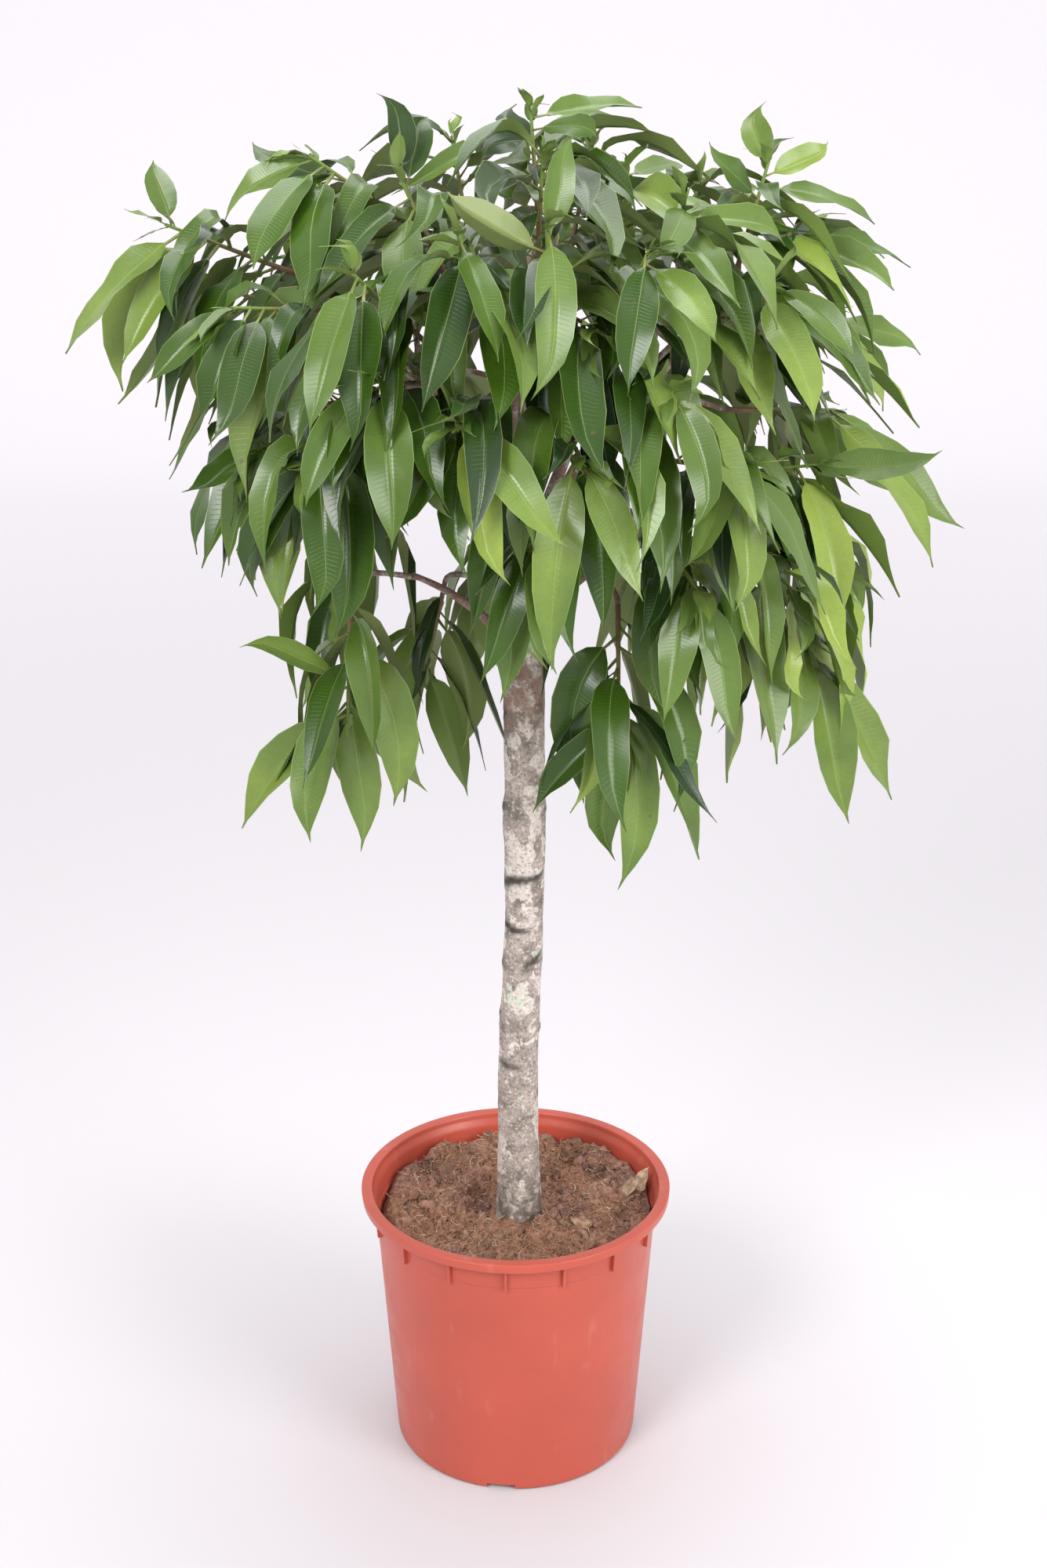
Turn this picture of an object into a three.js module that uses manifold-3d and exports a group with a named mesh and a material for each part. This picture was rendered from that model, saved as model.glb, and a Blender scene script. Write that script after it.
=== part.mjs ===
// A fig tree grown as a standard: a bare stem, a rounded crown of long drooping leaves, potting soil
// and a plastic nursery pot. Millimetres, +Z up, the side that faces the viewer is -Y.
// The origin is the middle of the pot's foot, on the surface that it stands on.

import * as THREE from 'three';
import { mergeVertices } from 'three/addons/utils/BufferGeometryUtils.js';
import Module from 'manifold-3d';

const wasm = await Module();
wasm.setup();

// Clearance between pieces that touch
const GAP = 0.3;

// Pot
const POT_HEIGHT = 298;
const RIM_RADIUS = 165;
const RIM_MOUTH_RADIUS = 153.6;
const RIM_LIP = 10;
const RIM_OUTER_ROUND = 2.5;
const RIM_INNER_ROUND = 2;
const RIM_DRAFT = 0.8;
const FOOT_RADIUS = 127;
const FOOT_ROUND = 5;
const WALL_FOOT_RADIUS = 131;
const STEP_HEIGHT = 261;
const STEP_RADIUS = 149;
const COLLAR_STEP = 0.9;
const COLLAR_TOP_RADIUS = 151;
const WALL = 2.6;
const FLOOR_TOP = 9;
const FOOT_RECESS = 4;
const FOOT_RING_WIDTH = 15;
const FOOT_PAD_RADIUS = 44;
const POT_SIDES = 24;
const RIB_COUNT = 16;
const RIB_FIRST_ANGLE = -93.6;
const RIB_HEIGHT = 30;
const RIB_REACH = 5;
const RIB_THICKNESS = 2.8;
const RIB_SUNK = 1.6;
const NOTCH_COUNT = 4;
const NOTCH_FIRST_ANGLE = -96.8;
const NOTCH_WIDTH = 30;
const NOTCH_HEIGHT = 7;
const NOTCH_LENGTH = 34;
const DRAIN_COUNT = 4;
const DRAIN_RADIUS = 7;
const DRAIN_CIRCLE_RADIUS = 78;
const DRAIN_SIDES = 6;

// Soil
const SOIL_LEVEL = 264;
const SOIL_RISE_AT_WALL = 6;
const SOIL_LUMP = 4;
const SOIL_SHOULDER = 6;
const SOIL_SHOULDER_DEPTH = 14;
const SOIL_CLEARANCE = 0.4;
const SOIL_RINGS = [98, 58];

// Stem: [height, shift along X, radius], up to where the limbs take over
const STEM_SIDES = 10;
const STEM_FOOT_SHIFT = 4;
const STEM_FOOT_RADIUS = 24.5;
const STEM_FOOT_HEIGHT = 150;
const STEM_RINGS = [
  [STEM_FOOT_HEIGHT, STEM_FOOT_SHIFT, STEM_FOOT_RADIUS],
  [282, STEM_FOOT_SHIFT, STEM_FOOT_RADIUS],
  [330, 3, 22],
  [410, 2, 21],
  [500, 4.5, 20.3],
  [590, 9, 19.6],
  [680, 10, 20.4],
  [708, 8.5, 23],
  [735, 10, 20.6],
  [800, 9, 20],
  [868, 9, 20.8],
];
const STEM_HEAD_RINGS = [
  [868 + GAP, 9, 20.8],
  [930, 8, 20],
  [985, 8, 12],
];

// Limbs: where each leaves the stem, where it ends, and its radius at both
const LIMB_ROOT_SHIFT = 8;
const LIMB_BEND_OUT = 0.42;
const LIMB_BEND_UP = 0.68;
const LIMB_SIDES = 4;
const LIMB_STEPS = 3;
const LIMBS = [
  { from: 960, to: [15, 0, 1285], radii: [11, 4.4] },
  { from: 955, to: [-170, -20, 1225], radii: [9, 4.8] },
  { from: 940, to: [-105, -130, 1200], radii: [8, 4.8] },
  { from: 965, to: [15, -160, 1195], radii: [8, 4.8] },
  { from: 950, to: [125, -115, 1190], radii: [8, 4.8] },
  { from: 945, to: [175, 15, 1195], radii: [9, 4.8] },
  { from: 960, to: [120, 125, 1190], radii: [8, 4.8] },
  { from: 945, to: [-5, 165, 1195], radii: [8, 4.8] },
  { from: 955, to: [-125, 105, 1190], radii: [8, 4.8] },
  { from: 880, to: [-95, -70, 985], radii: [6, 4.4] },
  { from: 890, to: [70, -90, 1000], radii: [6, 4.4] },
  { from: 905, to: [125, -40, 1010], radii: [6, 4.4] },
  { from: 900, to: [-40, 80, 1010], radii: [6, 4.4] },
  { from: 910, to: [75, 80, 1020], radii: [6, 4.4] },
];
// Branches leave a limb at these places, counted out of so many
const LIMB_BRANCH_PLACES = 20;
const LIMB_FIRST_BRANCH = 6;
const LIMB_LAST_BRANCH = 19;
const BRANCH_SIDES = 3;
const BRANCH_STEPS = 2;
const BRANCH_RADII = [3.4, 2.6];
const BRANCH_ROOT_SHARE = 0.6;
const BRANCH_SWEEP = 0.3;
const BRANCH_TURN_COST = 1.7;

// Leafy shoots: the shoot's tip, its azimuth and pitch in degrees, its length, its number of leaves, how
// far below level its leaves point at their ends, and the tips of the leaves that were measured one by one
const SHOOTS = [
  { tip: [15, -10, 1396], aim: [180, 86], length: 110, leaves: 9, hang: 15,
    tips: [[115, 20, 1400], [75, -60, 1380], [-35, -40, 1365], [-15, 60, 1395]] },
  { tip: [-100, -110, 1352], aim: [180, 65], length: 105, leaves: 9, hang: 45,
    tips: [[-105, -90, 1418], [-85, -60, 1400], [-160, -180, 1250], [-80, -200, 1225]] },
  { tip: [100, -10, 1345], aim: [-65, 80], length: 100, leaves: 9, hang: 40,
    tips: [[160, 60, 1345], [50, 60, 1365]] },
  { tip: [145, -150, 1330], aim: [-70, 60], length: 100, leaves: 9, hang: 50,
    tips: [[105, -250, 1295], [230, -150, 1305]] },
  { tip: [230, -10, 1355], aim: [0, 75], length: 105, leaves: 9, hang: 45,
    tips: [[210, 0, 1400], [290, 10, 1363], [330, -20, 1295], [170, -20, 1365]] },
  { tip: [-180, -60, 1362], aim: [-170, 35], length: 110, leaves: 9, hang: 60,
    tips: [[-260, -60, 1310], [-225, -150, 1275], [-165, -180, 1250], [-245, 0, 1365]] },
  { tip: [-310, -60, 1303], aim: [-165, 22], length: 130, leaves: 10, hang: 70,
    tips: [[-325, -40, 1355], [-400, -90, 1190], [-370, -40, 1155], [-345, -100, 1185]] },
  { tip: [-240, -170, 1245], aim: [-155, 5], length: 120, leaves: 9, hang: 70,
    tips: [[-310, -180, 1180], [-260, -200, 1150], [-235, -230, 1130]] },
  { tip: [-130, -245, 1282], aim: [-125, 35], length: 120, leaves: 9, hang: 65,
    tips: [[-165, -310, 1165], [-120, -310, 1150]] },
  { tip: [-45, -230, 1310], aim: [-115, 50], length: 110, leaves: 9, hang: 60,
    tips: [[-10, -300, 1220], [-75, -300, 1180]] },
  { tip: [27, -240, 1320], aim: [-95, 60], length: 110, leaves: 9, hang: 60,
    tips: [[27, -300, 1187], [40, -200, 1388], [-55, -260, 1345]] },
  { tip: [110, -240, 1300], aim: [-70, 45], length: 110, leaves: 9, hang: 60,
    tips: [[90, -300, 1195], [160, -300, 1235]] },
  { tip: [220, -160, 1265], aim: [-45, 30], length: 120, leaves: 9, hang: 60,
    tips: [[285, -210, 1210], [255, -230, 1160]] },
  { tip: [270, 20, 1290], aim: [10, 35], length: 120, leaves: 9, hang: 55,
    tips: [[362, 30, 1262], [340, -60, 1245]] },
  { tip: [295, 45, 1205], aim: [20, 5], length: 120, leaves: 9, hang: 60,
    tips: [[388, 60, 1180], [355, 0, 1150], [365, 70, 1125]] },
  { tip: [-220, -140, 1120], aim: [-135, 0], length: 110, leaves: 9, hang: 78,
    tips: [[-275, -190, 1085], [-205, -200, 980], [-250, -90, 1000]] },
  { tip: [-170, -220, 1120], aim: [-120, -15], length: 100, leaves: 8, hang: 80,
    tips: [[-155, -260, 1000], [-245, -170, 1000]] },
  { tip: [-115, -275, 1200], aim: [-110, 10], length: 110, leaves: 8, hang: 75,
    tips: [[-170, -310, 1105], [-95, -315, 1070]] },
  { tip: [-45, -285, 1165], aim: [-105, -5], length: 100, leaves: 9, hang: 78,
    tips: [[-20, -325, 1040], [32, -325, 1062], [-95, -305, 1075]] },
  { tip: [55, -285, 1135], aim: [-80, -20], length: 100, leaves: 8, hang: 80,
    tips: [[100, -325, 1028], [30, -305, 965]] },
  { tip: [130, -270, 1190], aim: [-65, 10], length: 110, leaves: 8, hang: 75,
    tips: [[162, -315, 1085], [160, -310, 1140]] },
  { tip: [195, -215, 1115], aim: [-55, 5], length: 110, leaves: 9, hang: 78,
    tips: [[200, -265, 1005], [150, -285, 1045]] },
  { tip: [280, -50, 1085], aim: [-12, 8], length: 130, leaves: 9, hang: 72,
    tips: [[395, -60, 1090], [300, -110, 945]] },
  { tip: [315, 95, 1110], aim: [30, -5], length: 120, leaves: 9, hang: 72,
    tips: [[432, 70, 985], [410, 15, 972], [395, 140, 1010]] },
  { tip: [-155, -130, 862], aim: [-95, -70], length: 125, leaves: 10, hang: 84,
    tips: [[-255, -120, 745], [-200, -155, 752], [-135, -120, 730], [-245, -130, 945], [-95, -70, 765]] },
  { tip: [-90, 60, 850], aim: [125, -70], length: 110, leaves: 8, hang: 84,
    tips: [[-45, 40, 725], [-100, 80, 718], [-130, 100, 715]] },
  { tip: [25, -205, 1045], aim: [-80, -20], length: 90, leaves: 7, hang: 82,
    tips: [[30, -245, 940], [-25, -235, 930]] },
  { tip: [95, -170, 868], aim: [-90, -62], length: 115, leaves: 10, hang: 84,
    tips: [[15, -175, 790], [75, -200, 745], [105, -185, 713], [168, -140, 716], [60, -210, 800]] },
  { tip: [160, -210, 1005], aim: [-65, -30], length: 100, leaves: 8, hang: 82,
    tips: [[185, -250, 880], [130, -250, 900]] },
  { tip: [288, -75, 900], aim: [-20, -45], length: 125, leaves: 9, hang: 84,
    tips: [[365, -50, 748], [315, -90, 742], [322, -60, 860], [222, -125, 822]] },
  { tip: [25, -125, 1368], aim: [-80, 75], length: 105, leaves: 10, hang: 35, tips: [] },
  { tip: [65, -250, 1240], aim: [-75, 0], length: 105, leaves: 9, hang: 72, tips: [] },
  { tip: [-75, -25, 1300], aim: [-160, 45], length: 105, leaves: 8, hang: 55, tips: [] },
  { tip: [90, 55, 1280], aim: [40, 45], length: 105, leaves: 8, hang: 55, tips: [] },
  { tip: [255, -135, 985], aim: [-35, -35], length: 105, leaves: 8, hang: 82, tips: [] },
  { tip: [325, 25, 960], aim: [5, -40], length: 110, leaves: 7, hang: 84, tips: [] },
  { tip: [220, -5, 930], aim: [0, -45], length: 110, leaves: 9, hang: 84, tips: [] },
  { tip: [-60, 105, 1368], aim: [120, 70], length: 105, leaves: 8, hang: 40, tips: [] },
  { tip: [75, 125, 1358], aim: [60, 65], length: 105, leaves: 8, hang: 45, tips: [] },
  { tip: [180, 105, 1325], aim: [30, 50], length: 110, leaves: 8, hang: 50, tips: [] },
  { tip: [-190, 95, 1325], aim: [150, 35], length: 110, leaves: 8, hang: 55, tips: [] },
  { tip: [-290, 50, 1235], aim: [170, 12], length: 120, leaves: 9, hang: 65, tips: [] },
  { tip: [-215, 190, 1245], aim: [138, 15], length: 120, leaves: 9, hang: 65, tips: [] },
  { tip: [-85, 245, 1275], aim: [110, 30], length: 115, leaves: 9, hang: 62, tips: [] },
  { tip: [50, 255, 1285], aim: [80, 35], length: 115, leaves: 8, hang: 62, tips: [] },
  { tip: [175, 220, 1255], aim: [52, 25], length: 115, leaves: 9, hang: 62, tips: [] },
  { tip: [265, 145, 1215], aim: [30, 10], length: 115, leaves: 8, hang: 65, tips: [] },
  { tip: [-255, -30, 1130], aim: [-175, -5], length: 115, leaves: 8, hang: 76, tips: [] },
  { tip: [-225, 130, 1105], aim: [150, -10], length: 115, leaves: 8, hang: 76, tips: [] },
  { tip: [-105, 245, 1125], aim: [115, -8], length: 115, leaves: 8, hang: 76, tips: [] },
  { tip: [40, 285, 1140], aim: [85, -5], length: 115, leaves: 8, hang: 76, tips: [] },
  { tip: [190, 235, 1115], aim: [50, -8], length: 115, leaves: 8, hang: 76, tips: [] },
  { tip: [-185, 50, 950], aim: [165, -50], length: 110, leaves: 8, hang: 84, tips: [] },
  { tip: [0, 195, 940], aim: [95, -50], length: 110, leaves: 8, hang: 84, tips: [] },
  { tip: [170, 130, 925], aim: [40, -50], length: 110, leaves: 8, hang: 84, tips: [] },
];
const TWIG_RADIUS = 2.2;
const TWIG_LEAFY = [0.14, 1];

// Leaves: how far along the leaf each ring stands, and its half width there as a share of the widest.
// The measured leaves are the ones in view, and have one ring more
const MEASURED_LEAF_RINGS = [
  [0, 0],
  [0.13, 0],
  [0.34, 0.84],
  [0.58, 1],
  [0.82, 0.5],
  [1, 0],
];
const RULED_LEAF_RINGS = [
  [0, 0],
  [0.13, 0],
  [0.38, 0.92],
  [0.68, 0.86],
  [1, 0],
];
const LEAF_LENGTHS = [138, 182];
const LEAF_SLIMNESS = [0.134, 0.156];
const LEAF_HALF_WIDTHS = [15, 23];
const LEAF_TURN_STEP = 137.5;
const LEAF_TURN_SPREAD = 40;
const SHOOT_TURN_STEP = 77;
const LEAF_LEAVES_TWIG = { across: 0.8, side: 0.55, along: 0.6 };
const LEAF_FIRST_PART = 0.36;
const LEAF_LAST_PART = 0.66;
const LEAF_OUTWARD = 0.45;
const LEAF_FACES_OUT = 0.25;
const LEAF_HANG_SPREAD = 24;
const LEAF_KEEL = 2.7;
const LEAF_WAVE = 1.2;
const LEAF_ROLL = 26;
const LEAF_YOUNG_FROM = 0.85;
const LEAF_YOUNG = 0.72;
const MEASURED_LEAF_BEND = 0.42;
const MEASURED_LEAF_ARCH = 0.12;
const MEASURED_LEAF_RISING_ARCH = 0.036;
const MEASURED_LEAF_SHOWN = 0.6;
const SHOWN_TO = new THREE.Vector3(0, -0.94, 0.34);
const PETIOLE_HALF_WIDTH = 1.3;
const PETIOLE_DEPTH = 2;
const PETIOLE_ROOT = 0.9;
const PETIOLE_SPREAD = 0.3;

// A leaf that would cross another is turned and lifted by these degrees, one pair after the other, and is
// also tried at the shorter lengths
const LEAF_CLEARANCE = 0.9;
const LEAF_TURNS = [
  [0, 0], [7, 0], [-7, 0], [0, 8], [0, -8], [15, 0], [-15, 0], [10, -14], [-10, -14], [28, 6], [-28, 6],
  [42, 0], [-42, 0], [60, 10], [-60, 10], [80, 0], [-80, 0],
];
const LEAF_SCALES = [1, 0.82, 0.66];

const UP = new THREE.Vector3(0, 0, 1);
const COS_30 = Math.sqrt(3) / 2;
const radians = THREE.MathUtils.degToRad;

// Colours
function plastic(colour) {
  return new THREE.MeshStandardMaterial({ color: colour, roughness: 0.42, metalness: 0 });
}

function matte(colour) {
  return new THREE.MeshStandardMaterial({ color: colour, roughness: 0.92, metalness: 0 });
}

function foliage(colour) {
  return new THREE.MeshStandardMaterial({ color: colour, roughness: 0.35, metalness: 0 });
}

// Draws from 0 to 1, the same ones each time
let seed = 20431;
function draw() {
  seed = (seed * 1664525 + 1013904223) % 4294967296;
  return seed / 4294967296;
}

function between(range, share) {
  return range[0] + (range[1] - range[0]) * share;
}

// A closed body turned into a solid that can be joined and cut
function solid(geometry) {
  const bare = geometry.clone();
  bare.deleteAttribute('normal');
  bare.deleteAttribute('uv');
  const merged = mergeVertices(bare, 1e-4);
  const corners = merged.index.array;
  const triangles = [];
  for (let i = 0; i < corners.length; i += 3) {
    const [a, b, c] = corners.slice(i, i + 3);
    if (a !== b && b !== c && c !== a) triangles.push(a, b, c);
  }
  return new wasm.Manifold(new wasm.Mesh({
    numProp: 3,
    vertProperties: new Float32Array(merged.attributes.position.array),
    triVerts: new Uint32Array(triangles),
  }));
}

function geometryOf(body) {
  const mesh = body.getMesh();
  const geometry = new THREE.BufferGeometry();
  geometry.setAttribute('position', new THREE.BufferAttribute(mesh.vertProperties, 3));
  geometry.setIndex(new THREE.BufferAttribute(mesh.triVerts, 1));
  return geometry;
}

function piece(name, geometry, material) {
  const mesh = new THREE.Mesh(geometry, material);
  mesh.name = name;
  return mesh;
}

// A prism whose rings of corners are moved to the given places, one ring for each level
function loft(rings) {
  const sides = rings[0].length;
  const levels = rings.length - 1;
  const outline = [];
  for (let k = 0; k < sides; k += 1) {
    const angle = (2 * Math.PI * k) / sides;
    outline.push(new THREE.Vector2(Math.cos(angle), Math.sin(angle)));
  }
  const options = { depth: levels, steps: levels, bevelEnabled: false };
  const geometry = new THREE.ExtrudeGeometry(new THREE.Shape(outline), options);
  const position = geometry.attributes.position;
  for (let i = 0; i < position.count; i += 1) {
    const angle = Math.atan2(position.getY(i), position.getX(i));
    const corner = (Math.round((angle * sides) / (2 * Math.PI)) + sides) % sides;
    const place = rings[Math.round(position.getZ(i))][corner];
    position.setXYZ(i, place.x, place.y, place.z);
  }
  return geometry;
}

// Rings of a round tube along a curve, its radius running evenly from one end to the other
function tubeRings(curve, sides, steps, radii) {
  const rings = [];
  let side = null;
  for (let j = 0; j <= steps; j += 1) {
    const share = j / steps;
    const centre = curve.getPoint(share);
    const along = curve.getTangent(Math.max(share, 1 / steps));
    if (side === null) side = Math.abs(along.z) > 0.9 ? new THREE.Vector3(1, 0, 0) : UP.clone();
    side = side.clone().addScaledVector(along, -side.dot(along)).normalize();
    const across = along.clone().cross(side);
    const radius = between(radii, share);
    const ring = [];
    for (let k = 0; k < sides; k += 1) {
      const angle = (2 * Math.PI * k) / sides;
      const corner = centre.clone().addScaledVector(side, radius * Math.cos(angle));
      ring.push(corner.addScaledVector(across, radius * Math.sin(angle)));
    }
    rings.push(ring);
  }
  return rings;
}

// Four corners made two triangles, along the diagonal that makes them bulge out
function halves(a, b, c, d) {
  const facing = b.clone().sub(a).cross(c.clone().sub(a));
  return facing.dot(d.clone().sub(a)) <= 0 ? [[a, b, c], [a, c, d]] : [[d, a, b], [b, c, d]];
}

// The rings of a body, kept with its box, edges and faces for the test of what crosses what
function hull(rings) {
  const sides = rings[0].length;
  const edges = [];
  const faces = [];
  for (let j = 0; j < rings.length; j += 1) {
    for (let k = 0; k < sides; k += 1) {
      const next = (k + 1) % sides;
      edges.push([rings[j][k], rings[j][next]]);
      if (j + 1 < rings.length) {
        const pair = halves(rings[j][k], rings[j][next], rings[j + 1][next], rings[j + 1][k]);
        edges.push([rings[j][k], rings[j + 1][k]], [pair[0][0], pair[0][2]]);
        faces.push(...pair);
      }
    }
  }
  return { edges, faces, box: new THREE.Box3().setFromPoints(rings.flat()) };
}

// Whether the straight line from one point to another goes through a triangle
function pierces(from, to, a, b, c) {
  const rx = to.x - from.x;
  const ry = to.y - from.y;
  const rz = to.z - from.z;
  const ux = b.x - a.x;
  const uy = b.y - a.y;
  const uz = b.z - a.z;
  const vx = c.x - a.x;
  const vy = c.y - a.y;
  const vz = c.z - a.z;
  const px = ry * vz - rz * vy;
  const py = rz * vx - rx * vz;
  const pz = rx * vy - ry * vx;
  const det = ux * px + uy * py + uz * pz;
  if (Math.abs(det) < 1e-9) return false;
  const tx = from.x - a.x;
  const ty = from.y - a.y;
  const tz = from.z - a.z;
  const u = (tx * px + ty * py + tz * pz) / det;
  if (u < 0 || u > 1) return false;
  const qx = ty * uz - tz * uy;
  const qy = tz * ux - tx * uz;
  const qz = tx * uy - ty * ux;
  const v = (rx * qx + ry * qy + rz * qz) / det;
  if (v < 0 || u + v > 1) return false;
  const t = (vx * qx + vy * qy + vz * qz) / det;
  return t >= 0 && t <= 1;
}

function crosses(one, other) {
  if (!one.box.intersectsBox(other.box)) return false;
  for (const [from, to] of one.edges) {
    for (const [a, b, c] of other.faces) if (pierces(from, to, a, b, c)) return true;
  }
  for (const [from, to] of other.edges) {
    for (const [a, b, c] of one.faces) if (pierces(from, to, a, b, c)) return true;
  }
  return false;
}

// Whether a body's own faces go through one another
function crossesItself({ faces }) {
  return faces.some((face) => face.some((from, i) => {
    const to = face[(i + 1) % 3];
    const apart = (other) => !other.some((corner) => corner.equals(from) || corner.equals(to));
    return faces.some((other) => apart(other) && pierces(from, to, ...other));
  }));
}

// Pot, turned so that its first rib stands in the middle of a flat
const POT_TURN = radians(RIB_FIRST_ANGLE + 180 / POT_SIDES);

function potWallRadius(height) {
  return WALL_FOOT_RADIUS + (STEP_RADIUS - WALL_FOOT_RADIUS) * (height / STEP_HEIGHT);
}

function potBody() {
  const flangeUnder = POT_HEIGHT - RIM_LIP;
  const outline = [
    [0, 0],
    [FOOT_PAD_RADIUS, 0],
    [FOOT_PAD_RADIUS, FOOT_RECESS],
    [FOOT_RADIUS - FOOT_RING_WIDTH, FOOT_RECESS],
    [FOOT_RADIUS - FOOT_RING_WIDTH, 0],
    [FOOT_RADIUS, 0],
    [potWallRadius(FOOT_ROUND), FOOT_ROUND],
    [STEP_RADIUS, STEP_HEIGHT],
    [STEP_RADIUS + COLLAR_STEP, STEP_HEIGHT + COLLAR_STEP],
    [COLLAR_TOP_RADIUS, flangeUnder],
    [RIM_RADIUS - RIM_DRAFT, flangeUnder],
    [RIM_RADIUS, POT_HEIGHT - RIM_OUTER_ROUND],
    [RIM_RADIUS - RIM_OUTER_ROUND, POT_HEIGHT],
    [RIM_MOUTH_RADIUS + RIM_INNER_ROUND, POT_HEIGHT],
    [RIM_MOUTH_RADIUS, POT_HEIGHT - RIM_INNER_ROUND],
    [COLLAR_TOP_RADIUS - WALL, flangeUnder - RIM_INNER_ROUND],
    [potWallRadius(FLOOR_TOP) - WALL, FLOOR_TOP],
    [0, FLOOR_TOP],
  ].map(([radius, height]) => new THREE.Vector2(radius, height));
  const shell = new THREE.LatheGeometry(outline, POT_SIDES);
  shell.rotateX(Math.PI / 2);
  shell.rotateZ(POT_TURN);
  let body = solid(shell);

  const ribTop = flangeUnder + RIB_SUNK;
  const ribFoot = ribTop - RIB_HEIGHT;
  const rib = new THREE.Shape();
  rib.moveTo(potWallRadius(ribFoot) - RIB_SUNK, ribFoot);
  rib.lineTo(potWallRadius(ribFoot) + RIB_REACH, ribFoot);
  rib.lineTo(COLLAR_TOP_RADIUS + RIB_REACH, ribTop);
  rib.lineTo(COLLAR_TOP_RADIUS - RIB_SUNK, ribTop);
  for (let i = 0; i < RIB_COUNT; i += 1) {
    const blade = new THREE.ExtrudeGeometry(rib, { depth: RIB_THICKNESS, bevelEnabled: false });
    blade.translate(0, 0, -RIB_THICKNESS / 2);
    blade.rotateX(Math.PI / 2);
    blade.rotateZ(radians(RIB_FIRST_ANGLE + (360 * i) / RIB_COUNT));
    body = body.add(solid(blade));
  }
  for (let i = 0; i < NOTCH_COUNT; i += 1) {
    const notch = new THREE.BoxGeometry(NOTCH_LENGTH, NOTCH_WIDTH, 2 * NOTCH_HEIGHT);
    notch.translate(FOOT_RADIUS, 0, 0);
    notch.rotateZ(radians(NOTCH_FIRST_ANGLE + (360 * i) / NOTCH_COUNT));
    body = body.subtract(solid(notch));
  }
  for (let i = 0; i < DRAIN_COUNT; i += 1) {
    const drain = new THREE.CylinderGeometry(DRAIN_RADIUS, DRAIN_RADIUS, 2 * POT_HEIGHT, DRAIN_SIDES);
    drain.rotateX(Math.PI / 2);
    drain.translate(DRAIN_CIRCLE_RADIUS, 0, 0);
    drain.rotateZ((2 * Math.PI * i) / DRAIN_COUNT);
    body = body.subtract(solid(drain));
  }
  return body;
}

// Soil: a plug that follows the pot's wall, with a lumpy top and a plain hole for the stem
function soilHeight(x, y) {
  const radius = Math.hypot(x, y);
  const rise = SOIL_RISE_AT_WALL * (radius / STEP_RADIUS) ** 2;
  const lumps = Math.sin(x * 0.071 + 1.3) * Math.cos(y * 0.063 - 0.4) + 0.6 * Math.sin(x * 0.13 - y * 0.11);
  return SOIL_LEVEL + rise + SOIL_LUMP * lumps;
}

function soilBody() {
  const floor = FLOOR_TOP + GAP;
  const inside = (height) => potWallRadius(height) - WALL - SOIL_CLEARANCE;
  const shoulder = SOIL_LEVEL - SOIL_SHOULDER_DEPTH;
  const outline = [
    [0, floor],
    [inside(floor), floor],
    [inside(shoulder), shoulder],
    [inside(SOIL_LEVEL) - SOIL_SHOULDER, SOIL_LEVEL],
    ...SOIL_RINGS.map((radius) => [radius, SOIL_LEVEL]),
    [0, SOIL_LEVEL],
  ].map(([radius, height]) => new THREE.Vector2(radius, height));
  const plug = new THREE.LatheGeometry(outline, POT_SIDES);
  plug.rotateX(Math.PI / 2);
  plug.rotateZ(POT_TURN);
  const position = plug.attributes.position;
  for (let i = 0; i < position.count; i += 1) {
    const top = position.getZ(i) > SOIL_LEVEL - 1;
    if (top) position.setZ(i, soilHeight(position.getX(i), position.getY(i)));
  }
  const holeHeight = 2 * SOIL_LEVEL;
  const holeRadius = STEM_FOOT_RADIUS + SOIL_CLEARANCE;
  const hole = new THREE.CylinderGeometry(holeRadius, holeRadius, holeHeight, STEM_SIDES);
  hole.rotateX(Math.PI / 2);
  hole.rotateZ(Math.PI / 2);
  hole.translate(STEM_FOOT_SHIFT, 0, STEM_FOOT_HEIGHT - GAP + holeHeight / 2);
  return solid(plug).subtract(solid(hole));
}

// Stem, limbs and branches
function stemRings(list) {
  return list.map(([height, shift, radius]) => {
    const ring = [];
    for (let k = 0; k < STEM_SIDES; k += 1) {
      const angle = (2 * Math.PI * k) / STEM_SIDES;
      ring.push(new THREE.Vector3(shift + radius * Math.cos(angle), radius * Math.sin(angle), height));
    }
    return ring;
  });
}

function limbCurve({ from, to }) {
  const start = new THREE.Vector3(LIMB_ROOT_SHIFT, 0, from);
  const end = new THREE.Vector3(...to);
  const bend = start.clone().lerp(end, LIMB_BEND_OUT).setZ(between([from, end.z], LIMB_BEND_UP));
  return new THREE.QuadraticBezierCurve3(start, bend, end);
}

function direction(azimuth, pitch) {
  const level = Math.cos(radians(pitch));
  return new THREE.Vector3(
    Math.cos(radians(azimuth)) * level,
    Math.sin(radians(azimuth)) * level,
    Math.sin(radians(pitch)),
  );
}

// A shoot's twig is straight and square, and each of its leaves grows out of one flat side
function twigOf({ tip, aim, length }) {
  const along = direction(...aim);
  const start = new THREE.Vector3(...tip).addScaledVector(along, -length);
  const level = Math.abs(along.z) > 0.9 ? new THREE.Vector3(1, 0, 0) : UP.clone();
  const side = level.addScaledVector(along, -level.dot(along)).normalize();
  const across = along.clone().cross(side);
  const corners = [[1, 0], [0, 1], [-1, 0], [0, -1]];
  const rings = [0, length].map((distance) => corners.map(([a, b]) => {
    const corner = start.clone().addScaledVector(along, distance);
    return corner.addScaledVector(side, TWIG_RADIUS * a).addScaledVector(across, TWIG_RADIUS * b);
  }));
  const normals = corners.map(([a, b]) => (
    side.clone().multiplyScalar(a - b).addScaledVector(across, a + b).normalize()
  ));
  return { start, along, side, across, length, rings, normals };
}

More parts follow.
